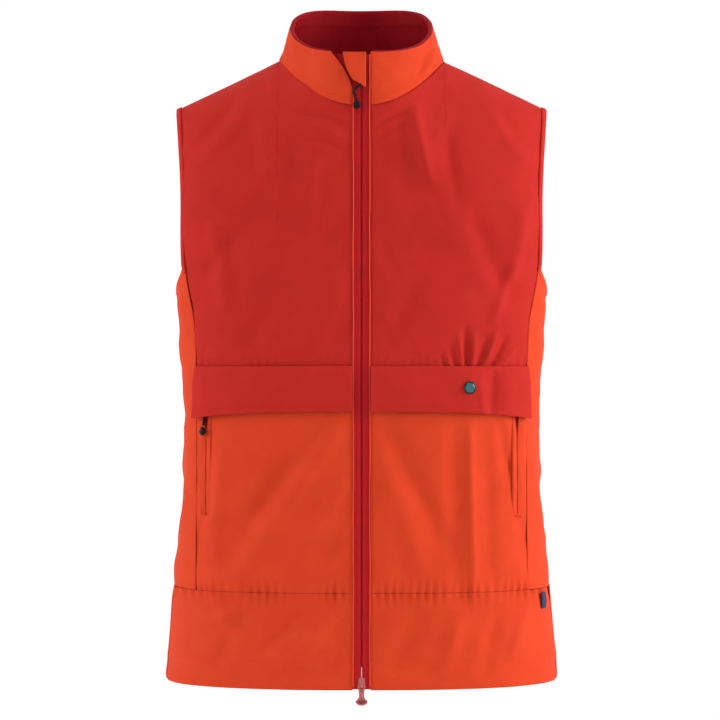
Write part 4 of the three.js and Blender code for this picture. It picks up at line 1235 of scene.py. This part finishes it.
# %% [markdown]
# The lower pull is stamped sheet metal: an oval eye at the top, a tapering bar and a flat
# ring. Its outline and holes are drawn as rings of points, bridged to each other and given
# thickness. The upper pull is a wire loop with a twisted cord and a moulded knob.
# %% Pulls


def oval(cx, cs, rx, rs, count):
    angles = np.linspace(0, 2 * math.pi, count, endpoint=False)
    return [(cx + rx * math.cos(a), cs + rs * math.sin(a)) for a in angles]


def band(shape, outer, inner, low, high, bevel=0.22):
    """A flat ring between two outlines with the same number of points."""
    layers = []
    for points, n in ((outer, low), (outer, high), (inner, high), (inner, low)):
        layers.append([shape.verts.new((x, -n, s)) for x, s in points])
    count = len(outer)
    loops = []
    for layer in layers:
        loops.append([shape.edges.new((layer[i], layer[(i + 1) % count])) for i in range(count)])
    for first, second in zip(loops, loops[1:] + loops[:1]):
        bmesh.ops.bridge_loops(shape, edges=first + second)
    soften(shape, [edge for loop in loops for edge in loop if edge.is_valid], bevel)


def lower_pull():
    shape = bmesh.new()
    half = 0.6
    band(shape, oval(0, -2.9, 3.9, 3.4, 32), oval(0, -2.9, 2.5, 2.1, 32), -half, half)
    band(shape, oval(0, -17.2, 6.3, 3.9, 40), oval(0, -17.2, 4.7, 2.5, 40), -half, half)
    left = [(-3.3, -5.0), (-2.6, -9), (-2.9, -12.4), (-4.6, -14.6)]
    bar = left + [(-x, s) for x, s in reversed(left)]
    plate(shape, bar, -half, half, 0.22)
    return shape


def tube_along(shape, points, radius, sides=14, lobes=0, twist=0.0):
    """A closed tube through the points; lobes and twist make it look laid from strands."""
    path = [Vector(p) for p in points]
    side = (path[1] - path[0]).orthogonal().normalized()
    rings, travelled = [], 0.0
    for i, middle_point in enumerate(path):
        ahead = (path[min(i + 1, len(path) - 1)] - path[max(i - 1, 0)]).normalized()
        side = (side - ahead * side.dot(ahead)).normalized()
        other = ahead.cross(side)
        travelled += (middle_point - path[max(i - 1, 0)]).length
        angles = [2 * math.pi * k / sides for k in range(sides)]
        places = [middle_point + (side * math.cos(a) + other * math.sin(a)) * radius
                  * (1 + (0.16 * math.cos(lobes * a - twist * travelled) if lobes else 0)) for a in angles]
        if not rings:
            rings.append([shape.verts.new(p) for p in places])
            shape.faces.new(rings[0])
            edges = [shape.edges.get((rings[0][k], rings[0][(k + 1) % sides])) for k in range(sides)]
        else:
            grown = bmesh.ops.extrude_edge_only(shape, edges=edges)["geom"]
            fresh = [part for part in grown if isinstance(part, bmesh.types.BMVert)]
            edges = [part for part in grown if isinstance(part, bmesh.types.BMEdge)
                     and all(v in fresh for v in part.verts)]
            follow = {vert: edge.other_vert(vert) for vert in rings[-1] for edge in vert.link_edges
                      if edge.other_vert(vert) in fresh}
            ring_now = [follow[vert] for vert in rings[-1]]
            for vert, place in zip(ring_now, places):
                vert.co = place
            rings.append(ring_now)
    shape.faces.new(rings[-1])
    return [tuple(p) for p in path]


def between(a, b, c, d, t):
    """A Catmull-Rom point at a share of the way from b to c."""
    return 0.5 * (2 * b + (c - a) * t + (2 * a - 5 * b + 4 * c - d) * t**2
                  + (3 * b - a - 3 * c + d) * t**3)


def smooth_path(points, steps=8):
    """Catmull-Rom points through a few named ones, given as across, outward, along."""
    spots = [Vector((x, -n, s)) for x, n, s in points]
    padded = [spots[0] * 2 - spots[1], *spots, spots[-1] * 2 - spots[-2]]
    path = []
    for a, b, c, d in zip(padded, padded[1:], padded[2:], padded[3:]):
        for t in np.linspace(0, 1, steps, endpoint=False):
            path.append(between(a, b, c, d, float(t)))
    return [*path, spots[-1]]


def wire_loop(shape, height=5.0):
    half = 2.1
    corner = 0.8
    spots = []
    for cx, cs, start in ((half - corner, -corner, 0), (corner - half, -corner, 90),
                          (corner - half, corner - height, 180), (half - corner, corner - height, 270)):
        for a in np.radians(np.linspace(start, start + 90, 6)):
            spots.append(Vector((cx + corner * math.cos(a), 0, cs + corner * math.sin(a) + 0.4)))
    tube_along(shape, [*spots, spots[0]], 0.5, 10)


def knob(shape, place, radius, stretch, squash=0.68):
    """A moulded cord end: a stretched ball with a waist in its upper half and a slight swell round its
    middle.
    """
    size = Matrix.Translation((place[0], -place[1], place[2])) @ Matrix.Diagonal((1, squash, stretch, 1))
    made = bmesh.ops.create_uvsphere(shape, u_segments=28, v_segments=20, radius=radius, matrix=size)
    for vert in made["verts"]:
        height = (vert.co.z - place[2]) / (radius * stretch)
        waist = 1 - 0.16 * math.exp(-(((height - 0.42) / 0.14) ** 2))
        waist += 0.05 * math.exp(-((height / 0.2) ** 2))
        vert.co.x = place[0] + (vert.co.x - place[0]) * waist
        vert.co.y = -place[1] + (vert.co.y + place[1]) * waist


def cord_pull(names, matrix, route, knot, body, nodes_replaced):
    """A wire loop, its twisted cord and the moulded end. Returns the cord, its line and the end."""
    wire_shape, cord_shape, end_shape = bmesh.new(), bmesh.new(), bmesh.new()
    wire_loop(wire_shape)
    points = tube_along(cord_shape, smooth_path(route), CORD_RADIUS, 18, 3, 1.6)
    knob(end_shape, *knot, KNOB_STRETCH)
    rows = zip(names, (wire_shape, cord_shape, end_shape), (dark_slider, black_twist, black_rubber),
               ("zip_metal", "black_cord", "black_rubber"), nodes_replaced)
    made = [show(name, settle(shape, matrix), skin, body, [node]) for name, shape, skin, slot, node in rows]
    line = [tuple(Matrix.Scale(MM, 4) @ matrix @ Vector(point)) for point in points]
    return made[1], line, made[2]


CORD_RADIUS, KNOB_STRETCH = 1.3, 1.15
UPPER_CORD = [(-1, 2.3, -3.1), (-4, 2.3, -6), (-7.4, 2.4, -9), (-7.6, 2.9, -14), (-6, 3.6, -20)]
show("lower_pull_stamped", settle(lower_pull(), moved(lower_frame, 0, BAR_N, -3.1)), slider_metal,
     "lower_pull_body", ["lower_pull"])
cord_pull(("upper_pull_wire", "upper_pull_twist", "upper_pull_grip"), moved(upper_frame, 0, BAR_N, -1.5),
          UPPER_CORD, ((-5, 4.4, -26), 4.2), "upper_pull",
          ("upper_pull_loop", "upper_pull_cord", "upper_pull_knob"))

# %% [markdown]
# A lighter corded edge runs down both fronts beside the tape: a cord covered in cloth, with
# its flat seam allowance behind it. It wavers very slightly, as a sewn cord does.
# %% Corded front edges
PIPING_X, PIPING_RADIUS = 8.9, 0.65


def piping(word, hand, low, high):
    steps = np.linspace(along_zip(low), along_zip(high), 150)
    waver = 0.18 * np.sin(steps / 23 + hand) + 0.1 * np.sin(steps / 9)
    shape = bmesh.new()
    points = [(hand * (PIPING_X + w), -0.75, s) for s, w in zip(steps, waver)]
    tube_along(shape, points, PIPING_RADIUS, 10)
    settle(shape, zip_frame)
    layer = shape.loops.layers.uv.new("cloth")
    for face in shape.faces:
        for loop in face.loops:
            loop[layer].uv = (loop.vert.co.x, loop.vert.co.z)
    show(f"front_cord_edge_{word}", shape, piping_cloth, "vest", [f"front_piping_{word}"])


piping("left", 1, HEM + 3, -2)
piping("right", -1, HEM + 3, -46)

# %% [markdown]
# The zip garage is a small tongue of shell cloth sewn beside the top of the zip. It lies
# over the upper slider, tapers to its foot and has a soft rolled edge all round.
# %% Zip garage
GARAGE_HINGE, GARAGE_DROP, GARAGE_N = 4.8, 38.0, 4.9
garage_edge = profile([(-38, 2.6), (-34.6, -1.6), (-31, -8.4), (-25, -13.0), (-14, -17.6), (0, -20.5)])


def garage_bend(u, v):
    s = mix(-GARAGE_DROP, 0, v)
    left = garage_edge(s)
    x = mix(left, GARAGE_HINGE, u)
    rim = np.minimum(np.minimum(x - left, GARAGE_HINGE - x), np.minimum(-s, s + GARAGE_DROP))
    puff = 0.6 * (1 - np.exp(-((rim / 2.2) ** 2))) + 0.4 * np.exp(-(((rim - 1.2) / 0.7) ** 2))
    return placed(zip_frame, x, GARAGE_N - 0.2 + puff + 0.3 * np.sin(x / 4 + s / 9), s), x, s


sew("zip_garage_cloth", 40, 56, garage_bend, shell_cloth, ["zip_garage"],
    body="garage", thick=1.2, crowding=0.3, middle_point=np.array([0.0, 0.0, -20.0]))

# %% [markdown]
# Hand pockets: a welt of shell cloth folds over the slot from both sides and almost hides
# the zip. It parts near the top, where the closed slider rests under the storm flap. Behind
# it are the tape halves, the teeth, the slider with its black cord pull, and the bag.
# %% Pockets
POCKET_END = POCKET_LENGTH / 2
SLIDER_REST = POCKET_END - 14.0


def lip_gap(s):
    """Half the opening between the two welts along the slot."""
    part = np.clip((s - 6) / 38, 0, 1)
    return 0.4 + 3.2 * part * part * (3 - 2 * part)


def welt_bend(matrix, side, hand):
    def bend(u, v):
        s = mix(-POCKET_END - 3, POCKET_END + 3, v)
        ends = np.clip((POCKET_END + 3 - np.abs(s)) / 8, 0, 1)
        inner = lip_gap(s)
        x = mix(inner, SLOT_HALF + 3.2, u)
        lip = 1.15 * np.clip((x - inner - 0.2) / 4.5, 0, 1) ** 0.8
        height = -0.5 + lip - 0.75 * np.clip((x - SLOT_HALF) / 3.2, 0, 1) ** 2
        height = height + 0.12 * np.sin(s / 5 + side) + 0.2 * ripple(np.asarray(s), x * 8, 16, 51.0 + hand)
        return placed(matrix, side * x, height * (0.3 + 0.7 * ends), s), side * x, s

    return bend


def pocket_bag_bend(hand):
    def bend(u, v):
        top = POCKET_TOP - 10
        z = mix(top - 150, top, v)
        inner, outer = POCKET_X - 98, POCKET_X + 6
        angle = mix(angle_at(-1, np.full_like(z, inner), z), angle_at(-1, np.full_like(z, outer), z), u)
        round_foot = 18 * np.abs(2 * u - 1) ** 3 * np.clip((top - 100 - z) / 50, 0, 1)
        puff = 0.8 * ripple(u * 100, z, 26, 61.0) * np.sin(u * math.pi)
        return on_tube(angle, z + round_foot, puff * 0.5 - 8.6) * (hand, 1, 1), hand * flat_angle(angle), z

    return bend


POCKET_CORDS = {
    "left": [(0, 1.9, -3.1), (0, 1.9, -8), (0, 1.8, -15)],
    "right": [(0, 1.9, -3.1), (0, 1.9, -11), (0, 2.2, -24), (0, 3.6, -38)],
}
POCKET_KNOTS = {"left": ((0, 1.9, -18), 2.6), "right": ((0, 5.2, -44), 4.2)}

for word, matrix in pocket_frames.items():
    hand = 1 if word == "left" else -1
    for side, label in ((1, "outer"), (-1, "inner")):
        sew(f"pocket_tape_{label}_{word}", 10, 110, tape_bend(matrix, side, -POCKET_END - 4, POCKET_END + 4),
            tape_cloth, [f"{word}_pocket_zip_{label}_half"], thick=0.5, crowding=0.0)
        teeth(f"pocket_teeth_{label}_{word}", matrix, side, -POCKET_END - 3, POCKET_END + 3,
              coil_plastic, ())
        sew(f"pocket_welt_{label}_{word}", 12, 96, welt_bend(matrix, side, hand), shell_cloth,
            thick=0.35, crowding=0.3)
    rest = moved(matrix, 0, 0, SLIDER_REST)
    slider(f"pocket_slider_detail_{word}", rest, True, -3.4, 3.4, [f"{word}_pocket_slider"],
           f"{word}_pocket_slider_body", dark_slider)
    cord_piece, cord_line, knot_piece = cord_pull(
        [f"pocket_{part}_{word}" for part in ("wire", "cord", "knot")], moved(rest, 0, BAR_N, -1.5),
        POCKET_CORDS[word], POCKET_KNOTS[word], f"{word}_pocket_pull",
        [f"{word}_pocket_pull_{part}" for part in ("loop", "cord", "knot")])
    sew(f"pocket_bag_cloth_{word}", 50, 60, pocket_bag_bend(hand), lining_cloth,
        [f"{word}_pocket_bag"], thick=0.4)

# %% [markdown]
# One snap holds the wearer's left flap: a domed cap with a dark turned rim outside, a ring
# socket inside the flap and a stud on the skirt. All three are turned, so each is a
# half-section spun round its axis. The cap's edge is cut to six soft flats.
# %% Snap


def turned(section, matrix, steps=48, flats=0.0):
    """Spins a half-section of (radius, outward) points round the frame's outward axis."""
    shape = bmesh.new()
    line = [shape.verts.new((radius, -n, 0)) for radius, n in section]
    edges = [shape.edges.new(pair) for pair in zip(line, line[1:])]
    bmesh.ops.spin(shape, geom=line + edges, cent=(0, 0, 0), axis=(0, 1, 0), angle=2 * math.pi, steps=steps,
                   use_merge=True)
    bmesh.ops.remove_doubles(shape, verts=shape.verts, dist=1e-4)
    for vert in shape.verts:
        around = math.atan2(vert.co.z, vert.co.x)
        shrink = 1 - flats * (1 - abs(math.cos(3 * around)))
        vert.co.x, vert.co.z = vert.co.x * shrink, vert.co.z * shrink
    return settle(shape, matrix)


flap_share = (YOKE - 2 - SNAP_Z) / FLAP_DEPTH
flap_inner = mix(3.2, 5.6, flap_share)
cap_n = flap_inner + 1.2 + 0.8
socket_top = flap_inner - 0.8
post = socket_top - 0.5


def above(level, section):
    """Sections are drawn from the level of their own seat."""
    return [(radius, level + rise) for radius, rise in section]


rim = [(0, post), (1.2, post)] + above(cap_n, [
    (1.2, 0), (6.2, 0), (6.9, 0.2), (7.1, 0.7), (6.9, 1.3), (6.3, 1.55), (5.7, 1.35), (5.5, 1.0), (0, 1.0)])
dome = above(cap_n, [(5.55, 0.8), (5.5, 1.25), (5.0, 1.75), (4.2, 2.05), (3.6, 1.95), (3.1, 1.8),
                     (1.6, 1.7), (0, 1.68)])
socket = above(socket_top, [(2.4, -1.2), (4.7, -1.2), (5.2, -0.9), (5.2, -0.3), (4.8, 0), (2.7, 0),
                            (2.4, -0.3), (2.4, -1.2)])
stud = [(0, 0.3), (4.9, 0.3), (5.2, 0.45), (4.9, 0.6), (2.0, 0.75), (1.6, 1.4)]
stud += above(post, [(1.85, -0.9), (1.3, -0.35), (0, -0.3)])
show("snap_rim", turned(rim, left_snap, 60, 0.05), dark_metal, "flap_left", ["snap_cap"])
show("snap_dome", turned(dome, left_snap, 60, 0.05), teal_lacquer, "flap_left")
show("snap_socket_ring", turned(socket, left_snap), dark_metal, "flap_left", ["snap_socket"])
show("snap_stud_post", turned(stud, left_snap), dark_metal, "vest", ["snap_stud"])

# %% [markdown]
# The armholes are bound with a folded strip: a flattened tube that follows the edge all the
# way round. It is red where it edges the yoke and orange under the arm.
# %% Armhole bindings


def binding_cloth():
    cloth = Finish("armhole_binding_cloth", Specular_IOR_Level=0.06)
    where = cloth.place()
    _, _, height = cloth.parts(where)
    under = cloth.node("ShaderNodeMapRange", inputs={0: height, 1: -0.2385, 2: -0.2335, 3: 1.0, 4: 0.0})
    dye = cloth.noise(where, 60.0, 3.0)
    slubs = cloth.noise(where, 700.0, 2.0)
    red = cloth.blend(dye, YOKE_DEEP, YOKE_TONE)
    orange = cloth.blend(dye, SHELL_DEEP, SHELL_TONE)
    cloth.feed("Base Color", cloth.blend(under, red, orange))
    cloth.feed("Roughness", 0.58 + slubs * 0.1)
    cloth.bump(slubs, 0.0006, 0.5)
    return cloth.material


def closed_curve(stops, steps):
    """Catmull-Rom points through a closed row of stops."""
    spots = np.array(stops)
    before, after, far = np.roll(spots, 1, 0), np.roll(spots, -1, 0), np.roll(spots, -2, 0)
    curve = []
    for t in np.linspace(0, 1, steps, endpoint=False):
        curve.append(between(before, spots, after, far, t))
    return np.stack(curve, 1).reshape(-1, spots.shape[1])


def squared(value):
    """Turns a circle's sine or cosine into that of a rounded square."""
    return math.copysign(abs(value) ** 0.7, value)


def strap(shape, centres, normals, half_width, half_thick, closed=True, sides=16):
    """A flat rounded strip along a line of centres, lying square to the normals."""
    count = len(centres)
    loops = []
    for i in range(count):
        before = centres[i - 1] if closed or i else centres[0]
        after = centres[(i + 1) % count] if closed or i < count - 1 else centres[-1]
        ahead = unit(after - before)
        normal = unit(normals[i] - ahead * np.dot(normals[i], ahead))
        across = np.cross(ahead, normal)
        verts = [shape.verts.new(centres[i] + across * half_width * squared(math.cos(a))
                                 + normal * half_thick * squared(math.sin(a)))
                 for a in np.linspace(0, 2 * math.pi, sides, endpoint=False)]
        loops.append([shape.edges.new((verts[k], verts[(k + 1) % sides])) for k in range(sides)])
        if not closed and i in (0, count - 1):
            shape.faces.new(verts)
    pairs = list(zip(loops, loops[1:] + loops[:1])) if closed else list(zip(loops, loops[1:]))
    for first, second in pairs:
        bmesh.ops.bridge_loops(shape, edges=first + second)
    bmesh.ops.recalc_face_normals(shape, faces=shape.faces)


# %% Binding round each armhole
BINDING_OUT, BINDING_HALF, BINDING_THICK = 2.1, 3.4, 1.35
FRONT_STOPS = np.linspace(-229, -58, 15)


def binding_stops():
    """(centre, outward) at each stop, up the front, over the shoulder and down the back."""
    stops = []

    def edge(side, z):
        x = np.array([float(armhole(z)) + BINDING_OUT])
        z = np.minimum(np.array([z]), ridge(x) - 0.05)
        run = run_at(ridge(x) - z)
        stops.append((*on_torso(side, x, run, -0.4)[0], *torso_normal(side, x, run)[0]))

    for z in FRONT_STOPS:
        edge(-1, z)
    tip, run = np.array([202 + BINDING_OUT]), np.array([6.0])
    for side in (-1, 1):
        stops.append((*on_torso(side, tip, run, -0.4)[0], *torso_normal(side, tip, run)[0]))
    for z in FRONT_STOPS[::-1]:
        edge(1, z)
    for u in (0.97, 0.8, 0.62, 0.5, 0.38, 0.2, 0.03):
        z = np.array([underarm_edge(u) + BINDING_OUT])
        angle = mix(front_seam_angle(z), back_seam_angle(z), u)
        outward = unit(on_tube(angle, z, 1.0) - tube(angle, z))
        stops.append((*on_tube(angle, z, -0.4)[0], *outward[0]))
    return stops


binding_skin = binding_cloth()
binding_line = closed_curve(binding_stops(), 5)
for hand, word in bodies_of_left.items():
    line = binding_line * (hand, 1, 1, hand, 1, 1)
    shape = bmesh.new()
    waver = 1 + 0.06 * np.sin(np.arange(len(line)) * 0.9)
    strap(shape, line[:, :3] * MM, line[:, 3:] * waver[:, None], BINDING_HALF * MM, BINDING_THICK * MM)
    show(f"armhole_binding_{word}_cloth", shape, binding_skin, "vest",
         [f"armhole_binding_{word}"])

# %% [markdown]
# A plain navy tab is caught in the side of the hem seam. A flat black tape inside the back
# neck is the hanger loop, and a plain navy label sits above it on the collar lining.
# %% Tab, hanger loop and neck label
TAB_ANGLE, TAB_WIDTH, TAB_HEIGHT = math.radians(72), 10.0, 18.0
tab_level = np.array([HEM_SEAM - 13])
tab_foot = on_tube(np.array([TAB_ANGLE]), tab_level, 0.0)[0]
tab_across = unit(on_tube(np.array([TAB_ANGLE + 0.05]), tab_level, 0.0)[0] - tab_foot)
tab_out = np.cross(tab_across, (0, 0, 1))
tab_frame = frame_matrix(tab_across, -tab_out, (0, 0, 1), tab_foot)


def tab_bend(u, v):
    x = mix(-0.4, TAB_WIDTH, u)
    s = mix(-TAB_HEIGHT / 2, TAB_HEIGHT / 2, v)
    curl = 1.9 + 0.5 * u * np.sin(v * 5) - 0.5 * np.exp(-((x + 0.4) ** 2))
    return placed(tab_frame, x, curl, s), x, s


sew("side_tab_woven", 16, 24, tab_bend, label_cloth, ["side_label_tab"],
    body="label_tab", thick=0.6, crowding=0.3)

LOOP_Y, LOOP_WIDTH, LOOP_THICK = 56.0, 7.0, 1.2
half_loop = [(25, -11.6), (19, -5.8), (13, 0.2), (8.5, 3.2)]
loop_points = [(-x, z) for x, z in half_loop] + [(0, 3.5)] + half_loop[::-1]
loop_path = smooth_path([(x, 0, z) for x, z in loop_points], 5)
loop_centres = np.array([(p.x, LOOP_Y, p.z) for p in loop_path])
ahead = np.gradient(loop_centres, axis=0)
loop_normals = np.cross(np.broadcast_to((0.0, 1.0, 0.0), ahead.shape), ahead)
loop_strap = bmesh.new()
strap(loop_strap, loop_centres * MM, loop_normals, LOOP_WIDTH / 2 * MM, LOOP_THICK / 2 * MM,
      closed=False, sides=20)
loop_layer = loop_strap.loops.layers.uv.new("cloth")
for face in loop_strap.faces:
    for corner in face.loops:
        corner[loop_layer].uv = (corner.vert.co.y, corner.vert.co.x)
show("hanger_loop_tape", loop_strap, loop_cloth, "vest", ["hanger_loop"])


def label_bend(u, v):
    angle = mix(math.pi - 0.32, math.pi + 0.32, u)
    height = mix(0.05, 0.37, v)
    puff = 0.25 * np.sin(u * math.pi * 3) * np.sin(v * math.pi)
    return collar_point(angle, height, -6.3 + puff), angle * 84, height * 56


sew("neck_label_woven", 40, 16, label_bend, label_cloth, ["neck_label"],
    middle_point=COLLAR_MIDDLE, thick=0.4)

# %% [markdown]
# Seams are sewn with rows of small stitches. Each stitch is one tiny stretched ball, laid
# along its row and pressed a little into the cloth, so all rows stay light.
# %% Stitches
STITCH_PITCH, STITCH_LENGTH, STITCH_WIDTH, STITCH_LIFT = 3.1, 2.3, 0.55, 0.12


def stitch_row(shape, points, normals, pitch=STITCH_PITCH, length=STITCH_LENGTH, width=STITCH_WIDTH):
    steps = np.concatenate([[0], np.cumsum(np.linalg.norm(np.diff(points, axis=0), axis=1))])
    for at in np.arange(pitch / 2, steps[-1], pitch):
        spot = np.array([np.interp(at, steps, points[:, k]) for k in range(3)])
        ahead = np.array([np.interp(at + 0.6, steps, points[:, k]) for k in range(3)]) - spot
        up = unit(np.array([np.interp(at, steps, normals[:, k]) for k in range(3)]))
        ahead = unit(ahead - up * np.dot(ahead, up))
        across = np.cross(up, ahead)
        basis = Matrix([[*row, 0] for row in np.stack([ahead, across, up], axis=1)] + [[0, 0, 0, 1]])
        size = Matrix.Diagonal((length, width, width * 0.8, 1))
        place = Matrix.Translation(spot + up * STITCH_LIFT) @ basis @ size
        bmesh.ops.create_icosphere(shape, subdivisions=1, radius=0.5, matrix=Matrix.Scale(MM, 4) @ place)


def front_row(hand, x, z, extra=0.0):
    """Points and normals of a row on the front, on top of its folds."""
    run = run_at(ridge(x) - z)
    points = on_torso(-1, x, run, front_folds(hand * x, z) + extra) * (hand, 1, 1)
    return points, torso_normal(-1, x, run) * (hand, 1, 1)


def finish_row(name, shape, skin, body):
    print(f"{name}: {len(shape.faces) // 20} stitches")
    return show(name, shape, skin, body)


for hand, word in bodies_of_left.items():
    red = bmesh.new()
    xs = np.linspace(FRONT_EDGE + 3, 176, 90)
    stitch_row(red, *front_row(hand, xs, np.full_like(xs, YOKE + 4.5)))
    zs = np.linspace(YOKE + 6, -62, 90)
    stitch_row(red, *front_row(hand, np.full_like(zs, FRONT_EDGE + 2.6), zs))
    finish_row(f"yoke_stitches_{word}", red, red_thread, "vest")
    orange = bmesh.new()
    for level in (HEM_SEAM - 3.2, TURN_UP):
        us = np.linspace(0.015, 0.985, 120)
        zs = np.full_like(us, level)
        angle = mix(angle_at(-1, np.full_like(zs, FRONT_EDGE + 2), zs), SLIT_FRONT, us)
        x = tube(angle, zs)[..., 0]
        points = on_tube(angle, zs, front_folds(hand * x, zs) + hem_edges(zs))
        normals = on_tube(angle, zs, 1.0) - tube(angle, zs)
        stitch_row(orange, points * (hand, 1, 1), normals * (hand, 1, 1))
    zs = np.linspace(HEM + 3, YOKE - 50, 120)
    stitch_row(orange, *front_row(hand, np.full_like(zs, FRONT_EDGE + 2.6), zs))
    matrix = pocket_frames[word]
    out = -np.array(matrix.to_3x3()).T[1]
    for side in (-1, 1):
        ss = np.linspace(-POCKET_END + 1, POCKET_END - 4, 60)
        row = placed(matrix, side * (SLOT_HALF + 2.2) + 0 * ss, 0.35 + 0 * ss, ss)
        stitch_row(orange, row, np.broadcast_to(out, row.shape))
    for end in (-POCKET_END - 1.5, POCKET_END + 1.5):
        xs = np.linspace(-5, 5, 24)
        row = placed(matrix, xs, 0.5 + 0 * xs, end + 0.9 * np.sin(xs * 5))
        stitch_row(orange, row, np.broadcast_to(out, row.shape), 0.9, 1.6, 0.6)
    finish_row(f"skirt_stitches_{word}", orange, orange_thread, "vest")
    flap_row = bmesh.new()
    us = np.linspace(0.03, 0.97, 90)
    edge = flap_edge(us)
    zs = edge + 6.5
    x = front_x(us, zs)
    folds = creases(hand * x, zs, FLAP_CREASES) + flap_wave(hand * x, zs)
    run = run_at(ridge(x) - zs)
    points = on_torso(-1, x, run, flap_stand(x, zs, edge) + 1.0 + folds) * (hand, 1, 1)
    stitch_row(flap_row, points, torso_normal(-1, x, run) * (hand, 1, 1))
    finish_row(f"flap_stitches_{word}", flap_row, red_thread, f"flap_{word}")

collar_rows = bmesh.new()
for level, left_end, right_end in ((0.07, 0.13, 0.13), (0.93, 0.16, 0.42)):
    angles = np.linspace(left_end, 2 * math.pi - right_end, 500)
    outward = stack(np.sin(angles), -np.cos(angles), 0 * angles)
    heights = np.full_like(angles, level)
    cloth_out = 0.9 + collar_folds(angles, heights)
    stitch_row(collar_rows, collar_point(angles, heights, cloth_out), outward)
finish_row("collar_stitches", collar_rows, orange_thread, "vest")
band_rows = bmesh.new()
heights = np.full_like(angles, 0.8)
band_out = -4.2 + 0.6 * lining_pleats(angles, heights) - 0.5
stitch_row(band_rows, collar_point(angles, heights, band_out), -outward)
finish_row("collar_band_stitches", band_rows, lining_thread, "vest")

# %% [markdown]
# The CAD nodes that are still showing keep their own finish.
# %% Hand over
left_showing = [name for name, node in nodes.items() if not node.hide_render]
print("CAD nodes still showing:", left_showing)
